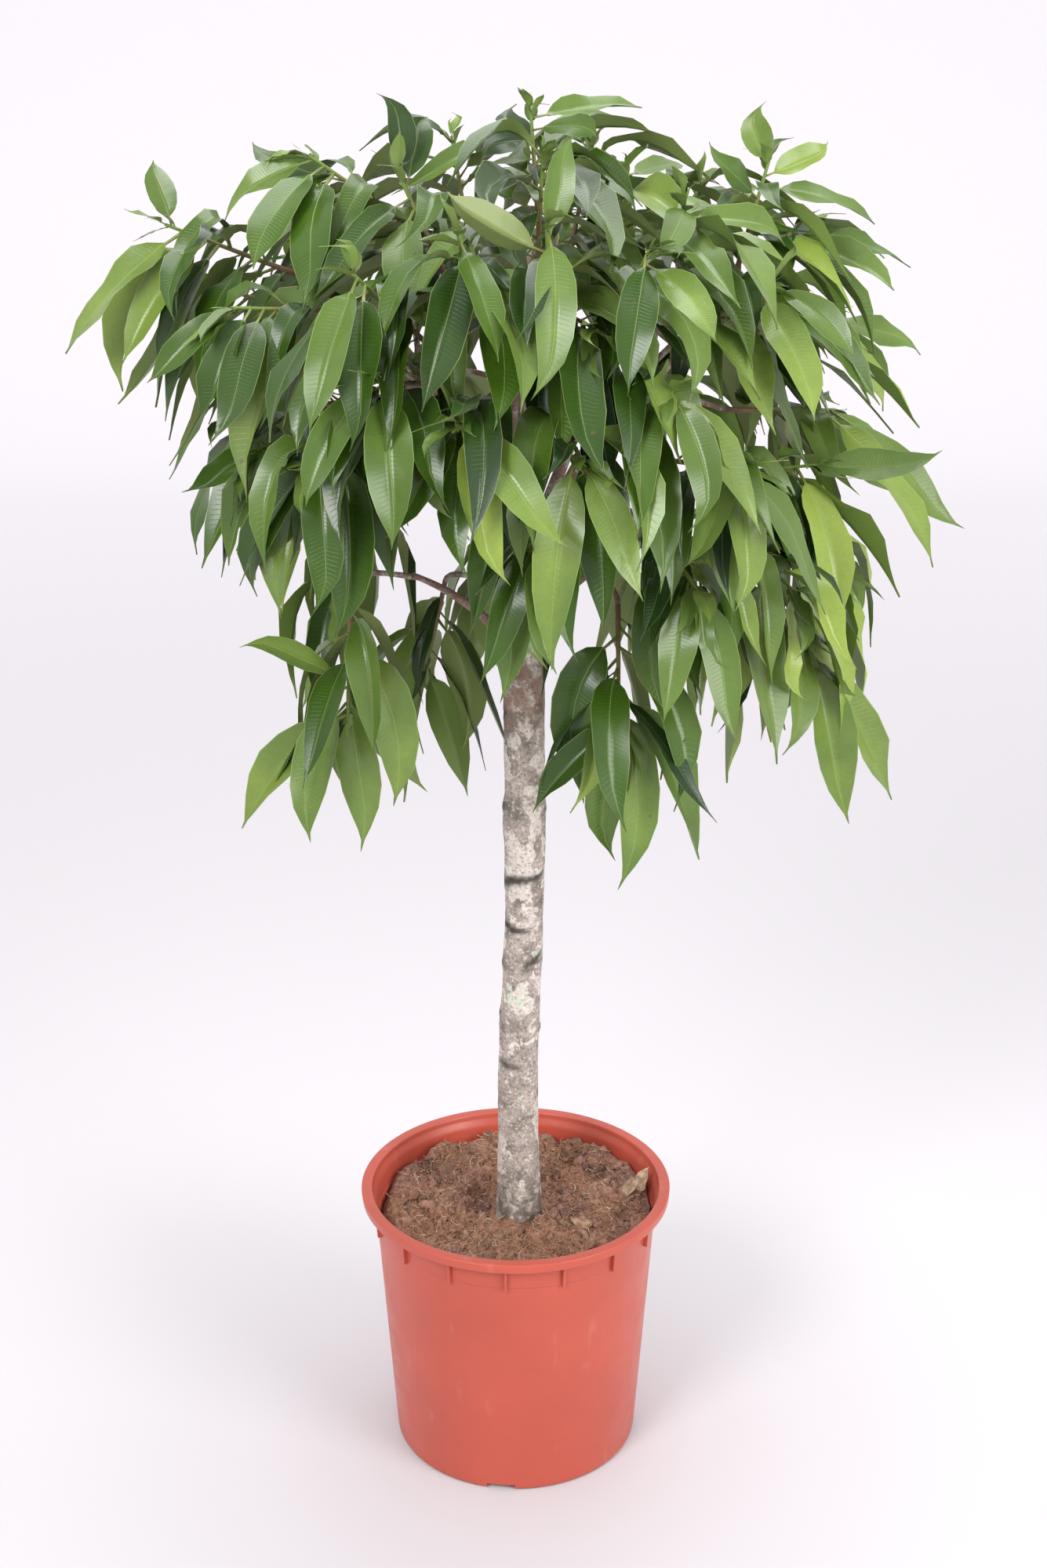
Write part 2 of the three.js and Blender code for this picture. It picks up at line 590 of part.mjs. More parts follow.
// The middle of the flat side that looks the way a leaf goes, this share of the way along the twig
function leafPlace(twig, share, toward) {
  const axis = twig.start.clone().addScaledVector(twig.along, share * twig.length);
  const way = toward(axis);
  let flat = 0;
  twig.normals.forEach((normal, i) => {
    if (normal.dot(way) > twig.normals[flat].dot(way)) flat = i;
  });
  const normal = twig.normals[flat];
  return { root: axis.addScaledVector(normal, TWIG_RADIUS * Math.SQRT1_2), normal, flat };
}

// A branch leaves the limb that its shoot is nearest to and runs on in the shoot's own direction
function branchRings(limbs, twig) {
  const end = twig.start;
  const heading = twig.along;
  let best = null;
  limbs.forEach((limb, i) => {
    for (let step = LIMB_FIRST_BRANCH; step <= LIMB_LAST_BRANCH; step += 1) {
      const share = step / LIMB_BRANCH_PLACES;
      const start = limb.getPoint(share);
      const along = limb.getTangent(share);
      const reach = end.clone().sub(start);
      const cost = reach.length() * (BRANCH_TURN_COST - reach.clone().normalize().dot(along));
      const radius = between(LIMBS[i].radii, share) * BRANCH_ROOT_SHARE;
      if (best === null || cost < best.cost) best = { cost, start, along, radius };
    }
  });
  const sweep = BRANCH_SWEEP * best.start.distanceTo(end);
  const leaving = end.clone().sub(best.start).normalize().add(best.along).normalize();
  const curve = new THREE.CubicBezierCurve3(
    best.start,
    best.start.clone().addScaledVector(leaving, sweep),
    end.clone().addScaledVector(heading, -sweep),
    end.clone().addScaledVector(heading, -GAP),
  );
  const [thick, thin] = BRANCH_RADII;
  return tubeRings(curve, BRANCH_SIDES, BRANCH_STEPS, [Math.min(best.radius, thick), thin]);
}

// Leaves. A leaf stalk's three corners where it meets the twig lie in the twig's flat side
function rootRing(leaf) {
  const right = leaf.side.clone().addScaledVector(leaf.normal, -leaf.side.dot(leaf.normal)).normalize();
  const upper = right.clone().cross(leaf.normal);
  return [[COS_30, 0.5], [0, -1], [-COS_30, 0.5]].map(([a, b]) => {
    const corner = leaf.root.clone().addScaledVector(right, PETIOLE_ROOT * a);
    return corner.addScaledVector(upper, PETIOLE_ROOT * b);
  });
}

function leafRings(leaf, swell) {
  const spine = new THREE.QuadraticBezierCurve3(
    leaf.root,
    leaf.root.clone().add(leaf.bend),
    leaf.root.clone().add(leaf.reach),
  );
  const rings = [];
  for (let j = 0; j < leaf.rings.length; j += 1) {
    const [share, width] = leaf.rings[j];
    const centre = spine.getPoint(share);
    const along = spine.getTangent(share);
    const level = leaf.side.clone().addScaledVector(along, -leaf.side.dot(along)).normalize();
    const face = level.clone().cross(along);
    const side = level.clone().multiplyScalar(Math.cos(leaf.roll)).addScaledVector(face, Math.sin(leaf.roll));
    const upper = side.clone().cross(along);
    let half = leaf.halfWidth * width;
    let depth = LEAF_KEEL;
    let wave = 0;
    if (j <= 1) {
      half = PETIOLE_HALF_WIDTH;
      depth = PETIOLE_DEPTH;
    } else if (j === leaf.rings.length - 1) {
      depth = 0;
    } else {
      wave = LEAF_WAVE * leaf.wave * (j % 2 === 0 ? 1 : -1);
    }
    const right = side.clone().multiplyScalar(half + swell).addScaledVector(upper, depth / 2 + swell - wave);
    const keel = upper.clone().multiplyScalar(-depth / 2 - swell);
    const left = side.clone().multiplyScalar(-half - swell).addScaledVector(upper, depth / 2 + swell + wave);
    const ring = [right, keel, left];
    rings.push(j === 0 ? rootRing(leaf) : ring.map((offset) => offset.add(centre)));
  }
  return rings;
}

function turned(leaf, [turn, lift], scale) {
  const spin = new THREE.Quaternion().setFromAxisAngle(UP, radians(turn));
  const side = leaf.side.clone().applyQuaternion(spin);
  const tilt = new THREE.Quaternion().setFromAxisAngle(side, radians(lift));
  const moved = (offset) => offset.clone().applyQuaternion(spin).applyQuaternion(tilt).multiplyScalar(scale);
  const halfWidth = leaf.halfWidth * scale;
  return { ...leaf, bend: moved(leaf.bend), reach: moved(leaf.reach), side, halfWidth };
}

// The way out from the crown's axis, level
function outward(place) {
  const away = new THREE.Vector3(place.x, place.y, 0);
  return away.length() < 1 ? new THREE.Vector3(0, -1, 0) : away.normalize();
}

function finishLeaf(rings, { root, normal, flat }, bend, reach, roll, draws) {
  const length = reach.length();
  bend.addScaledVector(normal, PETIOLE_SPREAD * bend.length());
  const heading = new THREE.Vector3(reach.x, reach.y, 0).multiplyScalar((1 - LEAF_FACES_OUT) / length);
  heading.addScaledVector(outward(root), LEAF_FACES_OUT).normalize();
  const side = heading.clone().cross(UP);
  const halfWidth = THREE.MathUtils.clamp(between(LEAF_SLIMNESS, draws[3]) * length, ...LEAF_HALF_WIDTHS);
  const wave = draws[5] < 0.5 ? 1 : -1;
  return { rings, root, normal, flat, bend, reach, side, halfWidth, roll: radians(roll), wave };
}

// A leaf whose tip was measured: it arches a little up and out on its way there, and is turned to show its
// blade towards the front
function measuredLeaf(shoot, order, share, draws) {
  const tip = new THREE.Vector3(...shoot.tips[order]);
  const place = leafPlace(shoot.twig, share, (axis) => tip.clone().sub(axis));
  const reach = tip.sub(place.root);
  const arch = reach.length() * (reach.z > 0 ? MEASURED_LEAF_RISING_ARCH : MEASURED_LEAF_ARCH);
  const bend = reach.clone().multiplyScalar(MEASURED_LEAF_BEND).addScaledVector(UP, arch);
  bend.addScaledVector(outward(place.root), arch);
  const leaf = finishLeaf(MEASURED_LEAF_RINGS, place, bend, reach, (draws[4] - 0.5) * LEAF_ROLL, draws);
  const shown = reach.clone().cross(SHOWN_TO).normalize();
  if (shown.dot(leaf.side) < 0) shown.negate();
  leaf.side.lerp(shown, MEASURED_LEAF_SHOWN).normalize();
  return leaf;
}

// A leaf that follows the rule: one turn step round the twig from the last, out from it, then down
function ruledLeaf(shoot, order, share, draws) {
  const { along, side, across } = shoot.twig;
  const angle = radians(LEAF_TURN_STEP * order + LEAF_TURN_SPREAD * (draws[0] - 0.5) + shoot.turn);
  const start = across.clone().multiplyScalar(LEAF_LEAVES_TWIG.across * Math.cos(angle));
  start.addScaledVector(side, LEAF_LEAVES_TWIG.side * Math.sin(angle));
  start.addScaledVector(along, LEAF_LEAVES_TWIG.along).normalize();
  const place = leafPlace(shoot.twig, share, () => start);
  const heading = new THREE.Vector3(start.x, start.y, 0).multiplyScalar(1 - LEAF_OUTWARD);
  heading.addScaledVector(outward(place.root), LEAF_OUTWARD).normalize();
  const hang = radians(shoot.hang + LEAF_HANG_SPREAD * (draws[1] - 0.5));
  const end = heading.clone().multiplyScalar(Math.cos(hang)).addScaledVector(UP, -Math.sin(hang));
  const age = share > LEAF_YOUNG_FROM ? LEAF_YOUNG + (1 - LEAF_YOUNG) * draws[2] : 1;
  const length = between(LEAF_LENGTHS, draws[2]) * age;
  const bend = start.multiplyScalar(LEAF_FIRST_PART * length);
  const reach = bend.clone().addScaledVector(end, LEAF_LAST_PART * length);
  return finishLeaf(RULED_LEAF_RINGS, place, bend, reach, (draws[4] - 0.5) * 2 * LEAF_ROLL, draws);
}

// The leaf in the first turn and length that keeps clear of everything placed so far, or nothing
function settle(leaf, shoot, placed) {
  for (const scale of LEAF_SCALES) {
    for (const turn of LEAF_TURNS) {
      const attempt = turned(leaf, turn, scale);
      const exact = leafRings(attempt, 0);
      const swollen = leafRings(attempt, LEAF_CLEARANCE);
      const height = (corner) => corner.clone().sub(leaf.root).dot(leaf.normal);
      if (swollen[1].some((corner) => height(corner) <= PETIOLE_ROOT)) continue;
      const wholes = [exact, swollen].map(hull);
      const blades = [exact.slice(1), swollen.slice(1)].map(hull);
      const meets = ({ twig, body }) => (
        (twig === shoot.twig ? blades : wholes).some((own) => crosses(own, body))
      );
      if (!placed.some(meets) && !crossesItself(wholes[0])) return attempt;
    }
  }
  return null;
}

function growCrown() {
  const limbs = LIMBS.map(limbCurve);
  const wood = [stemRings(STEM_HEAD_RINGS)];
  LIMBS.forEach((limb, i) => wood.push(tubeRings(limbs[i], LIMB_SIDES, LIMB_STEPS, limb.radii)));
  const shoots = SHOOTS.map((shoot, i) => (
    { ...shoot, twig: twigOf(shoot), turn: SHOOT_TURN_STEP * i, grown: [] }
  ));
  for (const shoot of shoots) wood.push(branchRings(limbs, shoot.twig));
  const placed = [stemRings(STEM_RINGS), ...wood].map((rings) => ({ body: hull(rings) }));
  for (const { twig } of shoots) placed.push({ body: hull(twig.rings), twig });

  const mostLeaves = Math.max(...shoots.map((shoot) => shoot.leaves));
  for (let order = 0; order < mostLeaves; order += 1) {
    for (const shoot of shoots) {
      if (order >= shoot.leaves) continue;
      const draws = Array.from({ length: 6 }, draw);
      const place = order < shoot.tips.length ? shoot.leaves - 1 - order : order - shoot.tips.length;
      const share = between(TWIG_LEAFY, (place + 0.5) / shoot.leaves);
      const grow = order < shoot.tips.length ? measuredLeaf : ruledLeaf;
      const leaf = settle(grow(shoot, order, share, draws), shoot, placed);
      if (leaf === null) continue;
      shoot.grown.push(leaf);
      placed.push({ body: hull(leafRings(leaf, 0)) });
    }
  }
  return { wood, shoots };
}

// A flat side of the twig, with a hole where each of its leaves grows out
function flatSide(shoot, flat) {
  const { rings: [near, far], along, normals } = shoot.twig;
  const next = (flat + 1) % near.length;
  const outline = [near[flat], near[next], far[next], far[flat]];
  const rooted = shoot.grown.filter((leaf) => leaf.flat === flat);
  const holes = rooted.map((leaf) => leafRings(leaf, 0)[0]);
  const level = along.clone().cross(normals[flat]);
  const flatten = (corner) => new THREE.Vector2(corner.dot(level), corner.dot(along));
  const cuts = holes.map((hole) => hole.map(flatten));
  const faces = THREE.ShapeUtils.triangulateShape(outline.map(flatten), cuts);
  const corners = [...outline, ...holes.flat()];
  return faces.map((face) => face.map((i) => corners[i]));
}

// A leafy shoot: the twig's ends and flat sides, and the leaves that are raised from them
function shootBody(shoot) {
  const { rings: [near, far], normals } = shoot.twig;
  const faces = [[near[0], near[3], near[2]], [near[0], near[2], near[1]]];
  faces.push([far[0], far[1], far[2]], [far[0], far[2], far[3]]);
  normals.forEach((_, flat) => faces.push(...flatSide(shoot, flat)));
  for (const leaf of shoot.grown) faces.push(...hull(leafRings(leaf, 0)).faces);
  const whole = faces.filter(([a, b, c]) => !a.equals(b) && !b.equals(c) && !c.equals(a));
  return mergeVertices(new THREE.BufferGeometry().setFromPoints(whole.flat()), 1e-4);
}

// The tree
const tree = new THREE.Group();
const { wood, shoots } = growCrown();
tree.add(piece('pot', geometryOf(potBody()), plastic('#cf5a45')));
tree.add(piece('soil', geometryOf(soilBody()), matte('#6b4636')));
tree.add(piece('stem', loft(stemRings(STEM_RINGS)), matte('#a79a8c')));
const limbs = wood.map((rings) => solid(loft(rings))).reduce((whole, body) => whole.add(body));
tree.add(piece('limbs', geometryOf(limbs), matte('#8a7565')));
shoots.forEach((shoot, i) => {
  const name = `leafy_shoot_${String(i + 1).padStart(2, '0')}`;
  tree.add(piece(name, shootBody(shoot), foliage('#3f6b2f')));
});

export default tree;
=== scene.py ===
# Looks for a fig tree grown as a standard: its pot, soil, wood and leafy shoots, and the studio round it

import functools
import math

import bmesh
import bpy
import numpy as np
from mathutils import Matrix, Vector, noise


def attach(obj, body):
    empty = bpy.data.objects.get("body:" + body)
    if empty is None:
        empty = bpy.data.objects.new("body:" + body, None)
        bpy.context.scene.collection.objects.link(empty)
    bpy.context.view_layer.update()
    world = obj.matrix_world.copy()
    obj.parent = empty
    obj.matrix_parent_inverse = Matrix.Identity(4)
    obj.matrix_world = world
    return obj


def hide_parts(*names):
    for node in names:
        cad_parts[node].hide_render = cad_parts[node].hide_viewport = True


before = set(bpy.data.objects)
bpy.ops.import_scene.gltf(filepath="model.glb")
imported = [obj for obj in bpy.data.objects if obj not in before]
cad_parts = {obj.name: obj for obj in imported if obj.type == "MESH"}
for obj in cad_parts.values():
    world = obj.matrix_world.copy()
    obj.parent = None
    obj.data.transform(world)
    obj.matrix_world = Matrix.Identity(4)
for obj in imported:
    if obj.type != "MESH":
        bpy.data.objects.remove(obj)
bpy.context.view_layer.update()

bl_info = {
    "name": "Potted standard fig",
    "version": (1, 0, 0),
    "blender": (4, 5, 0),
    "location": "3D View > Sidebar > Fig",
    "description": "Finishes the fig tree, its pot and its soil",
    "category": "Add Mesh",
}

# Lengths are in millimetres up to the point where a mesh is made, and angles in degrees
MM = 0.001
FULL_TURN = 2 * math.pi
UP = Vector((0, 0, 1))

# Pot profile from the middle of the foot up the outside and down the inside: radius and height, and how
# far from the corner its rounding starts
POT_PROFILE = [
    (0, 0, 0), (44, 0, 0.8), (44.3, 4, 0), (111.7, 4, 0), (112, 0, 0.8), (131, 0, 5), (131.6, 8, 0),
    (148.9, 259.5, 0), (149, 261, 0.4), (149.9, 262, 0.4), (151, 288, 1.6), (164.2, 288, 0.7),
    (165, 298, 1.5), (153.6, 298, 1.4), (152.6, 292.4, 1.5), (148.9, 284.5, 3), (147.2, 267.2, 0.5),
    (146.1, 265.4, 0.5), (129, 9, 3), (0, 9, 0),
]
POT_SIDES = 192
RIB_COUNT = 16
RIB_FIRST_ANGLE = -93.6
RIB_CORNERS = [(147.3, 259.6), (153.9, 259.6), (156, 289.6), (151.9, 289.6), (149.9, 284)]
# How wide the eased edges of a rib are for its thickness
RIB_EASING = 0.1
NOTCH_COUNT = 4
NOTCH_FIRST_ANGLE = -96.8
NOTCH_FROM, NOTCH_TO, NOTCH_HEIGHT = 110, 144, 7
DRAIN_COUNT = 4
DRAIN_FIRST_ANGLE = 0.0
DRAIN_RADIUS, DRAIN_AWAY, DRAIN_SIDES, DRAIN_CUT = 7, 78, 24, 40
ROUNDING = [step / 4 for step in range(5)]
SHARP_ANGLE = math.radians(38)

# Soil: its surface is the part's, with clods and grit on it and a little more at the back and right
SOIL_LEVEL, SOIL_RISE, SOIL_RISE_RADIUS, SOIL_LUMP = 264, 6, 149, 4
SOIL_BACK_RISE, SOIL_RIGHT_RISE = 13, 5
SOIL_INNER_RADIUS, SOIL_OUTER_RADIUS = 20, 144.5
SOIL_SIDES, SOIL_ROWS = 216, 60
# How far the soil's middle is shifted to lie round the stem, and the radius where that ends
SOIL_MIDDLE_SHIFT, SOIL_MIDDLE_RADIUS = 4, 60
CLOD_HEIGHT, GRIT_HEIGHT, HOLLOW_DEPTH = 5, 1.7, 12
# The soil's ragged edge: where it starts to fall, over what width, and how far, less so at the right
EDGE_RADIUS, EDGE_RAGGED, EDGE_WIDTH, EDGE_FALL, EDGE_LESS_FALL = 131, 5, 12, 9, 7
# The rows of the soil's top on which loose bits lie
SOIL_COVER_FROM, SOIL_COVER_TO = 4, SOIL_ROWS - 5
SOIL_PLUG = [(144, 240), (129, 12), (60, 12)]
SOIL_HOLLOW = (-36, -4, 19)
FIBRE_STEPS = 4
# How a loose bit may be stretched along its three sides
THINNEST_BIT, THICKEST_BIT = (0.7, 0.7, 0.6), (1.3, 1.2, 1.0)
# Larger clods and bark slabs seen in the photograph: place, length and turn
CLODS = [
    (87, -38, 13, 20), (70, 79, 17, 60), (-70, -62, 16, 110), (-96, -8, 18, 10), (98, 20, 21, 150),
    (-40, 88, 15, 80), (112, 62, 14, 30), (30, -112, 12, 0),
]
SLABS = [(72, -38, 25, -45), (-46, -96, 15, 20), (106, -44, 13, 70), (-18, 104, 17, -20), (88, 4, 14, 10)]
# How wide the larger lumps are for their length, and how far they stand out of the soil for their height
LUMP_WIDTH, LUMP_STAND = 0.62, 0.2

# Stem: height, shift along X and radius
STEM_RINGS = [
    (150, 4, 24.5), (265, 4, 24.8), (282, 4, 24.2), (330, 3, 22), (410, 2, 21), (500, 4.5, 20.3),
    (590, 9, 19.6), (680, 10, 20.2), (708, 8.5, 21.6), (735, 10, 20.6), (800, 9, 20), (868, 9, 20.8),
    (930, 8, 20), (985, 8, 12),
]
STEM_SIDES, STEM_STEP = 80, 3.2
# Over how many steps each way the stem's line is softened, and how far its lumps and its grain stand out
STEM_SOFTENING, STEM_LUMPS, STEM_GRAIN = 6, 1.1, 0.35
# Scars: height, the angle they face, half the angle they span, depth, and how much they climb to the right
STEM_SCARS = [
    (655, -100, 88, 1.3, 7), (602, -134, 66, 1.4, -5), (566, -52, 40, 0.5, 9), (446, -120, 45, 0.4, -4),
    (700, 70, 70, 1, 5), (520, 110, 60, 0.9, -5), (412, 40, 60, 0.7, 4), (826, 150, 70, 0.9, 3),
]
SCAR_WIDTH, SCAR_TAPER, SCAR_WANDER = 4.2, 1.7, 1.2
# For a scar's depth, how deep its dark line is and how far the swelling round it stands out
LINE_DEPTH, SWELL_STAND, SWELL_WIDTH = 1.3, 1.5, 7
# A knot and the pit in its middle: how deep that is for the knot's stand, and how much narrower
KNOT_RADIUS, PIT_DEPTH, PIT_NARROWER = 6, 0.8, 2.6
# Knots: height, the angle they face, and how far they stand out
STEM_KNOTS = [
    (732, -166, 2.8), (729, -22, 2), (558, -166, 1.6), (501, -166, 1.8), (484, -12, 2.8), (395, -60, 1),
    (820, -60, 1.4), (650, 60, 2.2), (540, 120, 1.8), (450, 20, 1.4), (760, 110, 2),
]

# Limbs: the height at which each leaves the stem, where it ends, and its radius at both
LIMBS = [
    (960, (15, 0, 1285), (11, 4.4)), (955, (-170, -20, 1225), (9, 4.8)), (940, (-105, -130, 1200), (8, 4.8)),
    (965, (15, -160, 1195), (8, 4.8)), (950, (125, -115, 1190), (8, 4.8)), (945, (175, 15, 1195), (9, 4.8)),
    (960, (120, 125, 1190), (8, 4.8)), (945, (-5, 165, 1195), (8, 4.8)), (955, (-125, 105, 1190), (8, 4.8)),
    (880, (-95, -70, 985), (6, 4.4)), (890, (70, -90, 1000), (6, 4.4)), (905, (125, -40, 1010), (6, 4.4)),
    (900, (-40, 80, 1010), (6, 4.4)), (910, (75, 80, 1020), (6, 4.4)),
]
LIMB_ROOT_SHIFT = 8
LIMB_BEND_OUT, LIMB_BEND_UP = 0.42, 0.68
LIMB_STEPS = 18
# How thick a limb's tip is here for its end in the part
LIMB_TIP_SHARE = 0.6
BRANCH_PLACES = [step / 20 for step in range(6, 20)]
BRANCH_RADII = (3.4, 2.6)
BRANCH_STEPS = 12
# What a turn costs where a branch looks for its limb, how thick it is for that limb, and how far it sweeps
BRANCH_TURN_COST, BRANCH_OF_LIMB, BRANCH_SWEEP = 1.7, 0.6, 0.3
TWIG_RADII = (2.6, 1.4)
TWIG_STEPS = 8
TWIG_SIDES = 8

# How far along a leaf the part's rings lie, and how wide it is there, for leaves with three rings and two
BLADE_RINGS = {3: ((0.82, 0.5), (0.58, 1.0), (0.34, 0.84)), 2: ((0.68, 0.86), (0.38, 0.92))}
# In the part's meshes, corners nearer than SAME_PLACE are one. A leaf's tip is LEAF_TIP or more long, its
# stalk is narrower than STALK_WIDTH, and the corners of a twig's end lie within TWIG_END of each other
SAME_PLACE, LEAF_TIP, STALK_WIDTH, TWIG_END = 0.01, 9, 4.5, 20
# The outline of a leaf: share of its length from stalk to tip, and its half width as a share of the widest
LEAF_OUTLINE = [
    (0, 0.085), (0.115, 0.065), (0.14, 0.24), (0.19, 0.56), (0.27, 0.82), (0.39, 0.98), (0.53, 1),
    (0.68, 0.88), (0.8, 0.63), (0.89, 0.3), (0.945, 0.09), (1, 0.012),
]
# A leaf's cross-section, with its half width as 1: where the blade creases beside the midrib, how thick it
# is, how far the midrib stands out below and how deep its groove is above
BLADE_CREASE, BLADE_THICKNESS, RIB_RISE, RIB_GROOVE = 0.22, 0.026, 0.03, 0.015
# Share of the length where the round stalk has become the blade, and over how much of it that happens
BLADE_FROM, BLADE_OPENS_OVER = 0.16, 0.045
# Shares of the length round which a leaf twists, and from where its tip curls
TWIST_CENTRE, CURL_FROM = 0.35, 0.72
# Least and most of what is drawn for each leaf, in this order
LEAF_DRAWS = {
    "phase": (0, FULL_TURN), "curl": (-0.28, 0.28), "fold": (0.2, 2.2), "waviness": (0.4, 1.6),
    "twist": (-0.8, 0.8),
}
WIDTH_DRAW = (0.82, 1.0)
# Small leaves: least and most length in metres, half width for that length, how they spread out and on from
# the twig, how they droop, and least and most tone
INNER_LEAF = ((0.075, 0.12), 0.13, 0.8, 0.5, 1.3, (0, 0.4))
YOUNG_LEAF = ((0.035, 0.062), 0.15, 0.6, 1, 0.5, (0.5, 0.85))
# How far up the twig the inner leaves reach, metres between the young ones, and the turn from leaf to leaf
INNER_REACH, YOUNG_STEP, LEAF_TURN = 0.85, 0.006, 2.4
# For a small leaf's length: how far it reaches, the handle of its spine, and how far it sags as it droops
SMALL_REACH, SMALL_BEND, SMALL_SAG = 0.9, 0.4, 0.5
# The bud: length and half width in metres, and how it droops
BUD, BUD_TONE = (0.022, 0.0016, 0.05), 0.9
# Tips of the leaves that are lighter than the others in the photograph, and how light they are
LIGHT_LEAVES = [
    ((-20, -325, 1040), 0.98), ((32, -325, 1062), 0.84), ((100, -325, 1028), 0.84), ((30, -305, 965), 0.8),
    ((-205, -200, 980), 0.74), ((-400, -90, 1190), 0.82), ((-200, -155, 752), 0.76), ((-45, 40, 725), 0.84),
    ((75, -200, 745), 0.84), ((105, -185, 713), 0.74), ((27, -300, 1187), 0.72), ((395, -60, 1090), 0.66),
    ((-80, -200, 1225), 0.66), ((160, -310, 1140), 0.7), ((130, -250, 900), 0.7), ((285, -210, 1210), 0.66),
]
LIGHT_LEAF_REACH = 22
# The two strips of the dry leaf, in metres: root, bend, reach, the way the blade lies, half width, fold
# and twist
DRY_STRIPS = [
    ((0.1345, 0.016, 0.272), (0.001, 0.002, 0.018), (0.0095, 0.006, 0.031), (0.9, -0.4, -0.1),
     0.0068, 1.0, 0.8),
    ((0.117, 0.016, 0.271), (0.004, 0.002, 0.006), (0.0175, 0.006, 0.023), (0.6, -0.6, -0.5),
     0.0066, 1.2, -0.6),
]
DRY_LEAF_FOOT = (0.118, 0.012, 0.273)
DRY_STALK_RADII = (0.0008, 0.0007, 0.0007)
# How much the other leaves differ in tone, and how much lighter they are at their shoot's tip; and the
# painted light that makes them lighter for each metre to the right, for how much of that to the left, and
# below which height in metres
TONE_SPREAD, TIP_TONE = 0.6, 0.16
SIDE_PAINTED_LIGHT, LEFT_SHARE = 1.25, 0.6
LOW_LEAVES, LOW_PAINTED_LIGHT = 0.97, 0.2


def settings():
    """The sizes and colours chosen in the sidebar."""
    return bpy.context.scene.fig_sizes, bpy.context.scene.fig_colours


# Nodes

def feed(tree, socket, value):
    """Links a socket to an input or sets the input's value. None leaves it as it is."""
    if isinstance(value, bpy.types.NodeSocket):
        tree.links.new(value, socket)
    elif value is not None:
        socket.default_value = value


def add(tree, kind, *inputs, named=None, **facts):
    """Adds a node. Its inputs are values or sockets to link, in the sockets' order or by name."""
    made = tree.nodes.new(kind)
    for key, value in facts.items():
        setattr(made, key, value)
    shown = [socket for socket in made.inputs if socket.enabled]
    for socket, value in zip(shown, inputs):
        feed(tree, socket, value)
    for name, value in (named or {}).items():
        feed(tree, made.inputs[name], value)
    return made


def out(node, name=None):
    """A node's output by name, or its first shown one."""
    return next(socket for socket in node.outputs if socket.enabled and name in (None, socket.name))


def maths(tree, operation, *inputs):
    return out(add(tree, "ShaderNodeMath", *inputs, operation=operation))


def product(tree, *factors):
    return functools.reduce(functools.partial(maths, tree, "MULTIPLY"), factors)


def total(tree, *terms):
    return functools.reduce(functools.partial(maths, tree, "ADD"), terms)


def less(tree, first, second):
    return maths(tree, "SUBTRACT", first, second)


def vectors(tree, operation, *inputs):
    return out(add(tree, "ShaderNodeVectorMath", *inputs, operation=operation), "Vector")


def measure(tree, operation, *inputs):
    """A number worked out from vectors, such as a length or a dot product."""
    return out(add(tree, "ShaderNodeVectorMath", *inputs, operation=operation), "Value")


def scaled(tree, vector, factor):
    return vectors(tree, "SCALE", vector, factor)


def joined(tree, *terms):
    """Several vectors added up."""
    return functools.reduce(functools.partial(vectors, tree, "ADD"), terms)


def parts_of(tree, vector):
    split = add(tree, "ShaderNodeSeparateXYZ", vector)
    return [out(split, axis) for axis in "XYZ"]


def attribute(tree, name, kind="FLOAT"):
    return out(add(tree, "GeometryNodeInputNamedAttribute", name, data_type=kind))


def speckle(tree, place, scale, detail=4.0, roughness=0.55):
    """Soft noise from 0 to 1. The scale is in specks to a metre."""
    return out(add(tree, "ShaderNodeTexNoise", place, scale, detail, roughness), "Fac")


def geometry_tree(name, sockets):
    """A Geometry Nodes tree with named inputs. Returns the tree and its inputs by name."""
    tree = bpy.data.node_groups.new(name, "GeometryNodeTree")
    tree.interface.new_socket("Geometry", in_out="OUTPUT", socket_type="NodeSocketGeometry")
    tree.interface.new_socket("Geometry", in_out="INPUT", socket_type="NodeSocketGeometry")
    for label, (kind, default) in sockets.items():
        socket = tree.interface.new_socket(label, in_out="INPUT", socket_type="NodeSocket" + kind)
        if default is not None:
            socket.default_value = default
    source = tree.nodes.new("NodeGroupInput")
    return tree, {socket.name: socket for socket in source.outputs if socket.name}


def close_tree(tree, geometry, finish_of=None):
    """Ends a tree in Realize Instances and, for a tree of one finish, Set Material."""
    last = out(add(tree, "GeometryNodeRealizeInstances", geometry))
    if finish_of is not None:
        last = out(add(tree, "GeometryNodeSetMaterial", last, True, finish_of))
    tree.links.new(last, tree.nodes.new("NodeGroupOutput").inputs[0])
    return tree


# Objects

def new_object(name, mesh):
    made = bpy.data.objects.new(name, mesh)
    bpy.context.scene.collection.objects.link(made)
    return made


def plain_mesh(piece):
    """The mesh of a piece with its modifiers worked in."""
    graph = bpy.context.evaluated_depsgraph_get()
    return bpy.data.meshes.new_from_object(piece.evaluated_get(graph), depsgraph=graph)


def remove(*objects):
    for piece in objects:
        mesh = piece.data
        bpy.data.objects.remove(piece)
        bpy.data.meshes.remove(mesh)


def grown(name, mesh, tree, **values):
    """Runs a tree on a mesh and leaves a plain object with the result at the origin."""
    piece = new_object(name, mesh)
    modifier = piece.modifiers.new(tree.name, "NODES")
    modifier.node_group = tree
    for socket in tree.interface.items_tree:
        key = socket.name.lower().replace(" ", "_")
        if socket.in_out == "INPUT" and key in values:
            modifier[socket.identifier] = values[key]
    result = plain_mesh(piece)
    piece.modifiers.remove(modifier)
    if not result.polygons:
        raise RuntimeError(f"{name} has no faces")
    piece.data = result
    bpy.data.meshes.remove(mesh)
    result.name = name
    return piece


